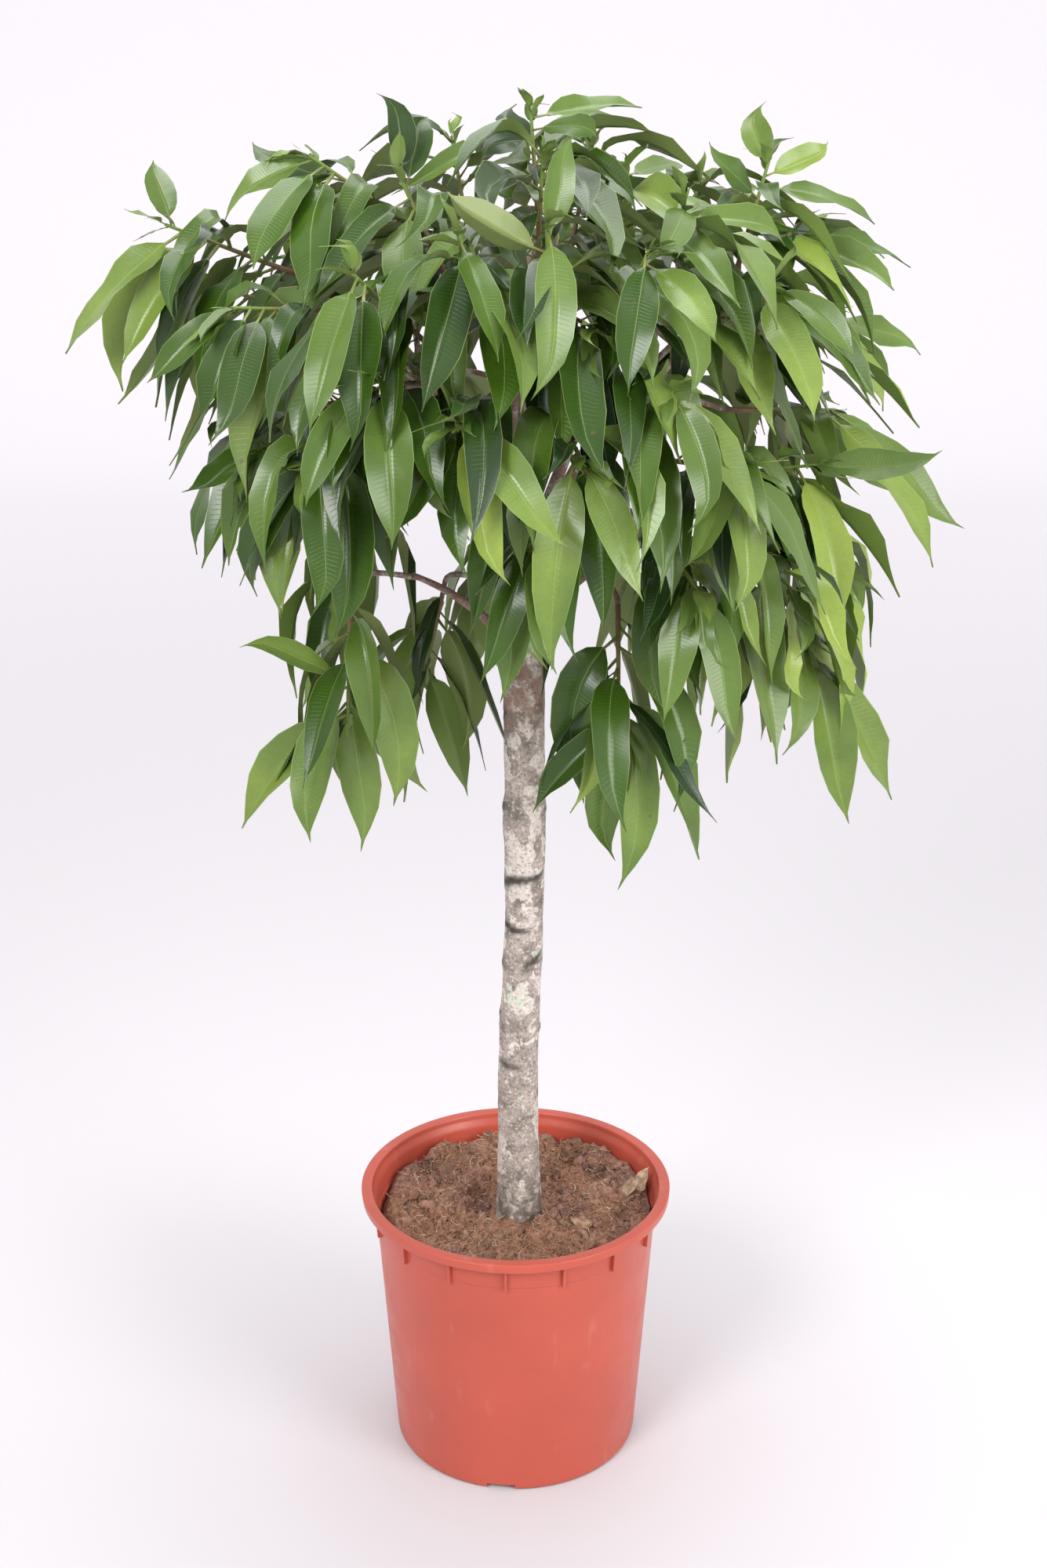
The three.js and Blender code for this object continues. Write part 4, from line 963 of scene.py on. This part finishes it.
def part_shoot(name):
    """The leaves of one leafy shoot of the part, and its twig's foot and tip."""
    bm = bmesh.new()
    bm.from_mesh(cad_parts[name].data)
    bmesh.ops.remove_doubles(bm, verts=bm.verts, dist=SAME_PLACE * MM)
    bm.verts.index_update()
    leaves, seen = [], set()
    for tip in bm.verts:
        ring = [edge.other_vert(tip) for edge in tip.link_edges]
        if len(ring) == 3 and min((corner.co - tip.co).length for corner in ring) > LEAF_TIP * MM:
            leaves.append(part_leaf(tip, ring, seen))
    ends = [corner.co.copy() for corner in bm.verts if corner not in seen]
    bm.free()
    if not leaves or not ends:
        raise RuntimeError(f"{name} has no leaves or no twig")
    first = max(ends, key=lambda end: max((end - other).length for other in ends))
    near = middle_of([end for end in ends if (end - first).length < TWIG_END * MM])
    far = middle_of([end for end in ends if (end - first).length >= TWIG_END * MM])
    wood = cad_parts["limbs"].data.vertices
    gap = [min((corner.co - end).length for corner in wood) for end in (near, far)]
    return (leaves, near, far) if gap[0] < gap[1] else (leaves, far, near)


@functools.cache
def part_shoots():
    """Every leafy shoot of the part by the name of its node."""
    return {name: part_shoot(name) for name in sorted(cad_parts) if name.startswith("leafy_shoot")}


# Wood

def limb_point(limb, share):
    """The place this share of the way along a limb, in metres, and the way the limb runs there."""
    height, end, _ = limb
    start = Vector((LIMB_ROOT_SHIFT, 0, height)) * MM
    end = Vector(end) * MM
    bend = start.lerp(end, LIMB_BEND_OUT)
    bend.z = start.z + (end.z - start.z) * LIMB_BEND_UP
    point = start.lerp(bend, share).lerp(bend.lerp(end, share), share)
    return point, (bend - start).lerp(end - bend, share).normalized()


def branch_path(foot, heading):
    """A branch from the limb that carries it most directly to the foot of a shoot's twig."""
    def way_from(limb, share):
        point, along = limb_point(limb, share)
        reach = foot - point
        thick, thin = limb[2]
        cost = reach.length * (BRANCH_TURN_COST - reach.normalized().dot(along))
        return cost, point, along, BRANCH_OF_LIMB * (thick + (thin - thick) * share)

    ways = [way_from(limb, share) for limb in LIMBS for share in BRANCH_PLACES]
    _, point, along, radius = min(ways, key=lambda way: way[0])
    sweep = BRANCH_SWEEP * (foot - point).length
    leaving = ((foot - point).normalized() + along).normalized()
    path = []
    for step in range(BRANCH_STEPS + 1):
        row = [point, point + sweep * leaving, foot - sweep * heading, foot]
        while len(row) > 1:
            row = [near.lerp(far, step / BRANCH_STEPS) for near, far in zip(row, row[1:])]
        path.append(row[0])
    thick, thin = BRANCH_RADII
    return path, min(radius, thick) * MM, thin * MM


def tube(tree, path, sides):
    """A round tube along a path of points, as thick as the points say."""
    curve = out(add(tree, "GeometryNodeMeshToCurve", path))
    section = out(add(tree, "GeometryNodeCurvePrimitiveCircle", sides, named={"Radius": 1.0}))
    return out(add(tree, "GeometryNodeCurveToMesh", curve, section, attribute(tree, "thickness"), True))


def tubes_tree():
    """Round tubes along paths, as thick as each path says, with an uneven skin."""
    tree, inputs = geometry_tree("Tubes along paths", {
        "Sides": ("Int", 10), "Unevenness": ("Float", 0.0006), "Material": ("Material", None),
    })
    skin = tube(tree, inputs["Geometry"], inputs["Sides"])
    bumps = less(tree, speckle(tree, out(add(tree, "GeometryNodeInputPosition")), 55.0, 3.0), 0.5)
    normal = out(add(tree, "GeometryNodeInputNormal"))
    push = scaled(tree, normal, product(tree, bumps, inputs["Unevenness"]))
    moved = add(tree, "GeometryNodeSetPosition", skin, named={"Offset": push})
    return close_tree(tree, out(moved), inputs["Material"])


def paths_mesh(name, paths):
    """Polylines with a thickness at each point that runs evenly from their start to their end."""
    corners, edges, thickness = [], [], []
    for path, first, last in paths:
        base = len(corners)
        corners += [tuple(point) for point in path]
        edges += [(base + i, base + i + 1) for i in range(len(path) - 1)]
        thickness += list(np.linspace(first, last, len(path)))
    mesh = bpy.data.meshes.new(name)
    mesh.from_pydata(corners, edges, [])
    store(mesh, "thickness", "FLOAT", thickness)
    return mesh


def angle_between(angle, facing):
    """How far one angle is from another, from minus to plus half a turn."""
    return (angle - math.radians(facing) + math.pi) % FULL_TURN - math.pi


def stem_marks(height, angle, radius):
    """How far scars and knots push the bark out at a place on the stem, and how dark they make it."""
    push, dark = 0.0, 0.0
    for level, facing, span, depth, climb in STEM_SCARS:
        share = angle_between(angle, facing) / math.radians(span)
        if abs(share) > 1:
            continue
        level += climb * share + SCAR_WANDER * math.sin(3 * angle + level)
        strength = (1 - share * share) ** 0.5
        line = math.exp(-((height - level) / (SCAR_WIDTH - SCAR_TAPER * share)) ** 2) * strength
        swell = math.exp(-((height - level) / SWELL_WIDTH) ** 2) * strength
        push += depth * (SWELL_STAND * swell - LINE_DEPTH * line)
        broken = 1.5 + 0.6 * noise.noise(Vector((angle * 6, height * 0.3, 0)))
        dark = max(dark, min(1.0, line * broken * min(1.0, 0.4 + 0.6 * depth)))
    for level, facing, stand in STEM_KNOTS:
        away = math.hypot(angle_between(angle, facing) * radius, height - level) / KNOT_RADIUS
        push += stand * (math.exp(-away ** 2) - PIT_DEPTH * math.exp(-(away * PIT_NARROWER) ** 2))
        dark = max(dark, math.exp(-(away * 1.6) ** 2) * min(1.0, 0.4 * stand))
    return push, max(0.0, dark)


def stem_object(surface):
    """The bare stem, with its lumps, scars and knots in the mesh."""
    heights = np.arange(STEM_RINGS[0][0], STEM_RINGS[-1][0], STEM_STEP)
    known = np.array(STEM_RINGS)
    soft = np.ones(2 * STEM_SOFTENING + 1) / (2 * STEM_SOFTENING + 1)

    def softened(column):
        line = np.interp(heights, known[:, 0], known[:, column])
        return np.convolve(np.pad(line, STEM_SOFTENING, mode="edge"), soft, "valid")

    corners, scars = [], []
    for height, shift, radius in zip(heights, softened(1), softened(2)):
        for angle in angles(STEM_SIDES):
            way = Vector((math.cos(angle), math.sin(angle), 0))
            broad = STEM_LUMPS * noise.fractal(way * 1.3 + UP * height * 0.022, 0.9, 2.1, 3)
            fine = STEM_GRAIN * noise.noise(way * 8 + UP * height * 0.16)
            push, dark = stem_marks(height, angle, radius)
            corners.append((Vector((shift, 0, height)) + way * (radius + broad + fine + push)) * MM)
            scars.append(dark)
    skin, start, end = tube_faces(len(heights), STEM_SIDES)
    stem = mesh_object("bare_stem", corners, [*skin, start, end], surface)
    store(stem.data, "scar", "FLOAT", scars)
    return stem


class FIG_OT_stem(bpy.types.Operator):
    """Bare stem with its scars and knots, and the limbs and branches in the crown"""
    bl_idname = "fig.stem"
    bl_label = "Stem and limbs"

    def execute(self, context):
        sizes, colours = settings()
        bark = bark_material(colours)
        paths = []
        for limb in LIMBS:
            path = [limb_point(limb, step / LIMB_STEPS)[0] for step in range(LIMB_STEPS + 1)]
            thick, thin = limb[2]
            paths.append((path, thick * MM, LIMB_TIP_SHARE * thin * MM))
        for _, foot, tip in part_shoots().values():
            paths.append(branch_path(foot, (tip - foot).normalized()))
        limbs = grown("limbs_and_branches", paths_mesh("limb paths", paths), tubes_tree(), sides=12,
                      unevenness=sizes.wood_unevenness, material=bark)
        smoothed(limbs.data)
        finish(stem_object(bark), "bark", "stem")
        finish(limbs, "bark", "limbs")
        return {"FINISHED"}


# Leafy shoots

def blade_object(surface):
    """One leaf, flat and of unit size: a closed skin whose corners carry their place on the leaf."""
    upper, lower = [-1, -BLADE_CREASE, 0, BLADE_CREASE, 1], [BLADE_CREASE, 0, -BLADE_CREASE]
    count = len(upper + lower)
    places, outline = [], []
    for along, width in LEAF_OUTLINE:
        stalk = min(1.0, max(0.0, (BLADE_FROM - along) / BLADE_OPENS_OVER))
        for k, share in enumerate(upper + lower):
            top = k < len(upper)
            angle = math.pi * (1 - k / (len(upper) - 1))
            thick = BLADE_THICKNESS * (1 - share * share) + (RIB_RISE if not top and share == 0 else 0.0)
            groove = RIB_GROOVE if top and share == 0 else 0.0
            flat = Vector((share * width, (thick if top else -thick) - groove))
            turned = Vector((width * math.cos(angle), width * math.sin(angle)))
            places.append((along, *flat.lerp(turned, stalk)))
            outline.append(width)
    skin, start, end = tube_faces(len(LEAF_OUTLINE), count)
    under = [face[0] % count >= len(upper) - 1 for face in skin] + [False, False]
    # each face starts where its fold runs as on the other side, so that no side breaks through
    faces = [face[1:] + face[:1] if below else face for face, below in zip(skin, under)]
    leaf = mesh_object("leaf pattern", places, [*faces, start, end], surface)
    for edge in leaf.data.edges:
        # the margin is sharp, so that light falls on each half as on a flat face
        edge.use_edge_sharp = all(corner % count in (0, len(upper) - 1) for corner in edge.vertices)
    store(leaf.data, "blade", "FLOAT_VECTOR", places)
    store(leaf.data, "outline", "FLOAT", outline)
    store(leaf.data, "under", "FLOAT", np.array(under, float), "FACE")
    return leaf


def leaf_spine(tree, share):
    """The place this share of the way along a leaf's spine, and the way the spine runs there."""
    root, bend = attribute(tree, "root", "FLOAT_VECTOR"), attribute(tree, "bend", "FLOAT_VECTOR")
    reach = attribute(tree, "reach", "FLOAT_VECTOR")
    rest = less(tree, 1.0, share)
    middle = scaled(tree, bend, product(tree, 2.0, share, rest))
    place = joined(tree, root, middle, scaled(tree, reach, product(tree, share, share)))
    onward = scaled(tree, vectors(tree, "SUBTRACT", reach, bend), share)
    return place, vectors(tree, "NORMALIZE", joined(tree, scaled(tree, bend, rest), onward))


def leaf_sides(tree, along, share):
    """The leaf's level and upper directions at a place on its spine, turning as the leaf twists."""
    side = attribute(tree, "side", "FLOAT_VECTOR")
    overlap = measure(tree, "DOT_PRODUCT", side, along)
    level = vectors(tree, "SUBTRACT", side, scaled(tree, along, overlap))
    level = vectors(tree, "NORMALIZE", level)
    upper = vectors(tree, "CROSS_PRODUCT", level, along)
    twist = product(tree, attribute(tree, "twist"), less(tree, share, TWIST_CENTRE))
    sine, cosine = maths(tree, "SINE", twist), maths(tree, "COSINE", twist)
    twisted = joined(tree, scaled(tree, level, cosine), scaled(tree, upper, sine))
    return twisted, vectors(tree, "CROSS_PRODUCT", twisted, along)


def shoot_tree():
    """A leafy shoot: one leaf at each loose point, bent along its spine, and a twig along the path."""
    tree, inputs = geometry_tree("Leafy shoot", {
        "Leaf": ("Object", None), "Fold": ("Float", 0.3), "Wave": ("Float", 0.12), "Waves": ("Float", 2.6),
        "Leaf finish": ("Material", None), "Twig finish": ("Material", None),
    })
    is_leaf = attribute(tree, "is_leaf", "BOOLEAN")
    parts = add(tree, "GeometryNodeSeparateGeometry", inputs["Geometry"], is_leaf)
    pattern = out(add(tree, "GeometryNodeObjectInfo", inputs["Leaf"]), "Geometry")
    copies = add(tree, "GeometryNodeInstanceOnPoints", out(parts, "Selection"), named={"Instance": pattern})
    leaves = out(add(tree, "GeometryNodeRealizeInstances", out(copies)))

    share, across, lift = parts_of(tree, attribute(tree, "blade", "FLOAT_VECTOR"))
    spine, along = leaf_spine(tree, share)
    level, upper = leaf_sides(tree, along, share)
    turns = product(tree, share, inputs["Waves"], FULL_TURN)
    swing = maths(tree, "SINE", total(tree, turns, attribute(tree, "phase"), product(tree, across, 1.1)))
    waving = product(tree, across, across, swing, inputs["Wave"], attribute(tree, "waviness"))
    folding = product(tree, maths(tree, "ABSOLUTE", across), inputs["Fold"], attribute(tree, "fold"))
    past = maths(tree, "MAXIMUM", less(tree, share, CURL_FROM), 0.0)
    curling = product(tree, past, past, attribute(tree, "curl"))
    half = attribute(tree, "half_width")
    sideways = scaled(tree, level, total(tree, product(tree, half, across), curling))
    raised = scaled(tree, upper, product(tree, half, total(tree, lift, waving, folding)))
    place = joined(tree, spine, sideways, raised)
    placed = out(add(tree, "GeometryNodeSetPosition", leaves, named={"Position": place}))

    twig = out(add(tree, "GeometryNodeSetShadeSmooth", tube(tree, out(parts, "Inverted"), TWIG_SIDES)))
    both = add(tree, "GeometryNodeJoinGeometry")
    for piece, finish_of in ((placed, "Leaf finish"), (twig, "Twig finish")):
        done = out(add(tree, "GeometryNodeSetMaterial", piece, True, inputs[finish_of]))
        tree.links.new(done, both.inputs[0])
    return close_tree(tree, out(both))


def leaf_points(name, leaves, path, thickness):
    """Loose points that carry the leaves, and the twig's path."""
    count, spare = len(leaves), len(path)
    corners = [tuple(leaf["root"]) for leaf in leaves] + [tuple(point) for point in path]
    edges = [(count + i, count + i + 1) for i in range(spare - 1)]
    mesh = bpy.data.meshes.new(name)
    mesh.from_pydata(corners, edges, [])
    for key in ("root", "bend", "reach", "side"):
        store(mesh, key, "FLOAT_VECTOR", [tuple(leaf[key]) for leaf in leaves] + [(0, 0, 0)] * spare)
    for key in ("half_width", "phase", "curl", "tone", "fold", "waviness", "twist"):
        store(mesh, key, "FLOAT", [leaf[key] for leaf in leaves] + [0.0] * spare)
    store(mesh, "is_leaf", "BOOLEAN", [True] * count + [False] * spare)
    store(mesh, "thickness", "FLOAT", [0.0] * count + list(thickness))
    store(mesh, "along", "FLOAT", [0.0] * count + list(np.linspace(0, 1, spare)))
    return mesh


def grown_leaf(rng, shape, tone):
    """A leaf with its own width, waves, fold, twist and curl."""
    leaf = {**shape, "tone": tone}
    leaf.update({key: rng.uniform(least, most) for key, (least, most) in LEAF_DRAWS.items()})
    leaf["half_width"] *= rng.uniform(*WIDTH_DRAW)
    return leaf


def small_leaf(root, way, length, half, droop):
    """The shape of a young leaf or a bud that leaves the twig on its own way and droops a little."""
    side = way.cross(UP)
    side = side.normalized() if side.length > 0.05 else Vector((1, 0, 0))
    reach = way * length * SMALL_REACH - UP * droop * length * SMALL_SAG
    bend = way * length * SMALL_BEND
    return {"root": root, "bend": bend, "reach": reach, "side": side, "half_width": half}


def leaf_tone(rng, leaf, age):
    """How light a leaf is: as the photograph shows it, or else lighter towards its shoot's tip, and lighter
    still
    where painted light falls: to the right, less so to the left, and low in the crown.
    """
    tip = leaf["root"] + leaf["reach"]
    for place, tone in LIGHT_LEAVES:
        if (tip - Vector(place) * MM).length < LIGHT_LEAF_REACH * MM:
            return tone
    tone = TONE_SPREAD * rng.random() + TIP_TONE * age * rng.random()
    # painted light: leaves to the right, and less so to the left, are made lighter
    tone += SIDE_PAINTED_LIGHT * max(tip.x, -LEFT_SHARE * tip.x)
    # painted light: leaves below LOW_LEAVES are made lighter
    return tone + LOW_PAINTED_LIGHT if tip.z < LOW_LEAVES else tone


def shoot_leaves(rng, sizes, leaves, foot, tip):
    """The part's leaves of one shoot, with smaller ones between them, young ones at the tip and a bud."""
    along = (tip - foot).normalized()
    across = along.orthogonal().normalized()
    other = along.cross(across)

    def small(order, root, lengths, half_width, spread, onward, droop, tones):
        length = rng.uniform(*lengths)
        angle = LEAF_TURN * order + rng.uniform(0, FULL_TURN)
        sideways = across * math.cos(angle) + other * math.sin(angle)
        way = (sideways * spread + along * onward).normalized()
        shape = small_leaf(root, way, length, length * half_width, droop)
        return grown_leaf(rng, shape, rng.uniform(*tones))

    made = []
    for leaf in leaves:
        age = (leaf["root"] - foot).dot(along) / (tip - foot).length
        made.append(grown_leaf(rng, leaf, leaf_tone(rng, leaf, age)))
    for order in range(sizes.inner_leaves):
        root = foot.lerp(tip, (order + 0.5) / sizes.inner_leaves * INNER_REACH)
        made.append(small(order, root, *INNER_LEAF))
    for order in range(sizes.young_leaves):
        made.append(small(order, tip - along * YOUNG_STEP * order, *YOUNG_LEAF))
    bud = grown_leaf(rng, small_leaf(tip, along, *BUD), BUD_TONE)
    made.append({**bud, "fold": 0.0, "waviness": 0.0})
    return made


class FIG_OT_shoots(bpy.types.Operator):
    """Leafy shoots: a fine leaf over each leaf of the part, small leaves between and a bud at each tip"""
    bl_idname = "fig.shoots"
    bl_label = "Leafy shoots"

    def execute(self, context):
        sizes, colours = settings()
        green, wood = leaf_material(colours), twig_material(colours)
        pattern = blade_object(green)
        tree = shoot_tree()
        rng = np.random.default_rng(sizes.seed)
        thickness = np.linspace(*TWIG_RADII, TWIG_STEPS + 1) * MM
        for name, (leaves, foot, tip) in part_shoots().items():
            path = [foot.lerp(tip, step / TWIG_STEPS) for step in range(TWIG_STEPS + 1)]
            made = shoot_leaves(rng, sizes, leaves, foot, tip)
            points = leaf_points(name + " points", made, path, thickness)
            piece = grown("fine_" + name, points, tree, leaf=pattern, fold=sizes.leaf_fold,
                          wave=sizes.leaf_wave, waves=sizes.leaf_waves, leaf_finish=green, twig_finish=wood)
            finish(piece, "foliage", name)
        remove(pattern)
        return {"FINISHED"}


class FIG_OT_litter(bpy.types.Operator):
    """Dry curled leaf, torn in two strips, that leans on the pot's wall"""
    bl_idname = "fig.litter"
    bl_label = "Dry leaf"

    def execute(self, context):
        dry = plain_material("Dry leaf", DRY_LEAF, 0.7, 0.5)
        pattern = blade_object(dry)
        strips = []
        for root, bend, reach, side, *rest in DRY_STRIPS:
            shape = {"root": root, "bend": bend, "reach": reach, "side": Vector(side).normalized()}
            numbers = dict(zip(("half_width", "fold", "twist"), rest))
            strips.append({**shape, **numbers, "tone": 0.5, "phase": 1.0, "curl": 0.0, "waviness": 1.0})
        foot, root = Vector(DRY_LEAF_FOOT), Vector(DRY_STRIPS[0][0])
        path = [foot, foot.lerp(root, 0.5), root]
        points = leaf_points("dry leaf points", strips, path, DRY_STALK_RADII)
        piece = grown("dry_leaf", points, shoot_tree(), leaf=pattern, fold=0.6, wave=0.4, waves=2.0,
                      leaf_finish=dry, twig_finish=dry)
        finish(piece, "foliage")
        remove(pattern)
        return {"FINISHED"}


# Studio

PAPER_FRONT, PAPER_BEND, PAPER_HALF_WIDTH, PAPER_HEIGHT, PAPER_BEND_RADIUS = -6.0, 4.6, 6.0, 6.0, 1.4
PAPER_BEND_ANGLES = np.linspace(0.1, math.pi / 2, 16)
# Metres from the tree between which painted light turns the paper whiter
PAPER_PAINTED_LIGHT = (1.2, 5.6)
CAMERA_PLACE = (0.0084, -2.048, 1.5)
CAMERA_DOWN = 20.07
CAMERA_LENS, CAMERA_SENSOR = 50, 36
# Lights: name, place, the height on the tree that each faces, and its width
LIGHTS = [
    ("Key", (-1.7, -2.6, 2.9), 0.9, 1.4), ("Fill", (2.6, -2.2, 1.9), 0.8, 2.0),
    ("Top", (0.2, 0.5, 3.4), 1.0, 2.0),
]


def area_light(name, place, aim_height, size, power):
    light = bpy.data.lights.new(name, "AREA")
    light.shape = "DISK"
    light.size = size
    light.energy = power
    lamp = new_object(name, light)
    lamp.location = place
    aim = Vector((0, 0, aim_height)) - Vector(place)
    lamp.rotation_euler = aim.to_track_quat("-Z", "Y").to_euler()


def paper_object(colours):
    """One sheet of paper, whiter further from the tree under painted light: the floor, a round bend and the
    backdrop.
    """
    paper, tree, shader = material("Studio paper")
    # painted light: the paper grows whiter away from the tree
    away = mask(tree, measure(tree, "LENGTH", object_place(tree, (1, 1, 0))), *PAPER_PAINTED_LIGHT)
    coat(tree, shader, ramp(tree, away, (0.0, colours.paper), (1.0, times(colours.paper, 1.5))), 0.9)
    line = [(PAPER_FRONT, 0.0), (PAPER_BEND, 0.0)]
    for angle in PAPER_BEND_ANGLES:
        rise = PAPER_BEND_RADIUS * (1 - math.cos(angle))
        line.append((PAPER_BEND + PAPER_BEND_RADIUS * math.sin(angle), rise))
    line.append((PAPER_BEND + PAPER_BEND_RADIUS, PAPER_HEIGHT))
    corners = [(x, y, z) for y, z in line for x in (-PAPER_HALF_WIDTH, PAPER_HALF_WIDTH)]
    faces = [(2 * j, 2 * j + 1, 2 * j + 3, 2 * j + 2) for j in range(len(line) - 1)]
    return mesh_object("studio_paper", corners, faces, paper)


class FIG_OT_stage(bpy.types.Operator):
    """White paper floor and backdrop, soft lights and the camera"""
    bl_idname = "fig.stage"
    bl_label = "Studio"

    def execute(self, context):
        sizes, colours = settings()
        paper_object(colours)
        world = context.scene.world or bpy.data.worlds.new("Studio")
        context.scene.world = world
        world.use_nodes = True
        sky = world.node_tree.nodes["Background"]
        sky.inputs["Color"].default_value = (1, 1, 1, 1)
        sky.inputs["Strength"].default_value = sizes.ambient
        for name, place, aim_height, size in LIGHTS:
            area_light(name, place, aim_height, size, getattr(sizes, name.lower()))
        context.scene.view_settings.view_transform = "Standard"
        lens = bpy.data.cameras.new("Photograph")
        lens.lens = CAMERA_LENS
        lens.sensor_width = CAMERA_SENSOR
        camera = new_object("Photograph", lens)
        camera.location = CAMERA_PLACE
        camera.rotation_euler = (math.radians(90 - CAMERA_DOWN), 0, 0)
        context.scene.camera = camera
        return {"FINISHED"}


# Sidebar

def property_of(kind, **facts):
    """A function that makes one kind of property from its name, description and default."""
    def made(name, description, default):
        return kind(name=name, description=description, default=default, **facts)
    return made


length_of = property_of(bpy.props.FloatProperty, subtype="DISTANCE", unit="LENGTH")
share_of = property_of(bpy.props.FloatProperty, min=0, subtype="FACTOR")
power_of = property_of(bpy.props.FloatProperty, min=0, unit="POWER")
count_of = property_of(bpy.props.IntProperty, min=1, subtype="UNSIGNED")
colour_of = property_of(bpy.props.FloatVectorProperty, subtype="COLOR", size=3, min=0.0, max=1.0)


class FigSizes(bpy.types.PropertyGroup):
    rib_thickness: length_of("Rib thickness", "Thickness of the ribs under the pot's rim", 0.0028)
    notch_width: length_of("Notch width", "Width of the drain notches in the pot's foot", 0.03)
    wood_unevenness: length_of("Wood unevenness", "How far the skin of limbs stands in and out", 0.0016)
    litter: share_of("Litter", "Share of the crumbs, chips and fibres on the soil", 1.0)
    leaf_fold: share_of("Leaf fold", "Rise of a leaf's margin over its midrib", 0.32)
    leaf_wave: share_of("Leaf wave", "Height of the margin's waves", 0.25)
    leaf_waves: share_of("Waves", "Waves along a leaf", 1.6)
    inner_leaves: count_of("Inner leaves", "Smaller leaves on each twig", 4)
    young_leaves: count_of("Young leaves", "Small leaves at each tip", 3)
    ambient: share_of("Ambient light", "Strength of the white surroundings", 0.93)
    key: power_of("Key light", "Power of the light at the front left", 82.0)
    fill: power_of("Fill light", "Power of the light at the front right", 84.0)
    top: power_of("Top light", "Power of the light above the tree", 50.0)
    seed: count_of("Seed", "Seed of everything drawn at random", 7)


class FigColours(bpy.types.PropertyGroup):
    pot: colour_of("Pot", "Moulded plastic", (0.485, 0.08, 0.049))
    soil: colour_of("Soil", "Potting soil", (0.2, 0.11, 0.084))
    fibre: colour_of("Fibre", "Orange-brown fibre in the soil", (0.31, 0.15, 0.075))
    bark: colour_of("Bark", "Bark between the lichen", (0.34, 0.285, 0.25))
    lichen: colour_of("Lichen", "Pale patches on the stem", (0.58, 0.52, 0.47))
    twig: colour_of("Twig", "Red-brown young wood", (0.14, 0.065, 0.04))
    leaf_dark: colour_of("Dark leaf", "Shaded, old leaves", (0.011, 0.031, 0.007))
    leaf: colour_of("Leaf", "Most leaves", (0.036, 0.084, 0.004))
    leaf_light: colour_of("Light leaf", "Leaves in full light", (0.118, 0.188, 0.036))
    leaf_young: colour_of("Young leaf", "Yellow-green new leaves", (0.26, 0.35, 0.06))
    leaf_under: colour_of("Underside", "Olive underside of the leaves", (0.19, 0.235, 0.08))
    vein: colour_of("Vein", "Midrib, veins and margin", (0.3, 0.38, 0.13))
    paper: colour_of("Paper", "Floor and backdrop", (0.59, 0.57, 0.595))


class FIG_PT_panel(bpy.types.Panel):
    """Sizes, colours and pieces of the fig"""
    bl_idname = "FIG_PT_panel"
    bl_label = "Potted standard fig"
    bl_space_type = "VIEW_3D"
    bl_region_type = "UI"
    bl_category = "Fig"

    def draw(self, context):
        for group in settings():
            box = self.layout.box()
            for name in group.bl_rna.properties.keys():
                if name not in ("rna_type", "name"):
                    box.prop(group, name)
        for operator in OPERATORS:
            self.layout.operator(operator.bl_idname)


OPERATORS = (FIG_OT_pot, FIG_OT_soil, FIG_OT_stem, FIG_OT_shoots, FIG_OT_litter, FIG_OT_stage)
CLASSES = (FigSizes, FigColours, *OPERATORS, FIG_PT_panel)


def register():
    for kind in CLASSES:
        bpy.utils.register_class(kind)
    bpy.types.Scene.fig_sizes = bpy.props.PointerProperty(type=FigSizes)
    bpy.types.Scene.fig_colours = bpy.props.PointerProperty(type=FigColours)


def unregister():
    del bpy.types.Scene.fig_colours
    del bpy.types.Scene.fig_sizes
    for kind in reversed(CLASSES):
        bpy.utils.unregister_class(kind)


def main():
    register()
    bpy.ops.fig.pot()
    bpy.ops.fig.soil()
    bpy.ops.fig.stem()
    bpy.ops.fig.shoots()
    bpy.ops.fig.litter()
    bpy.ops.fig.stage()


if __name__ == "__main__":
    main()
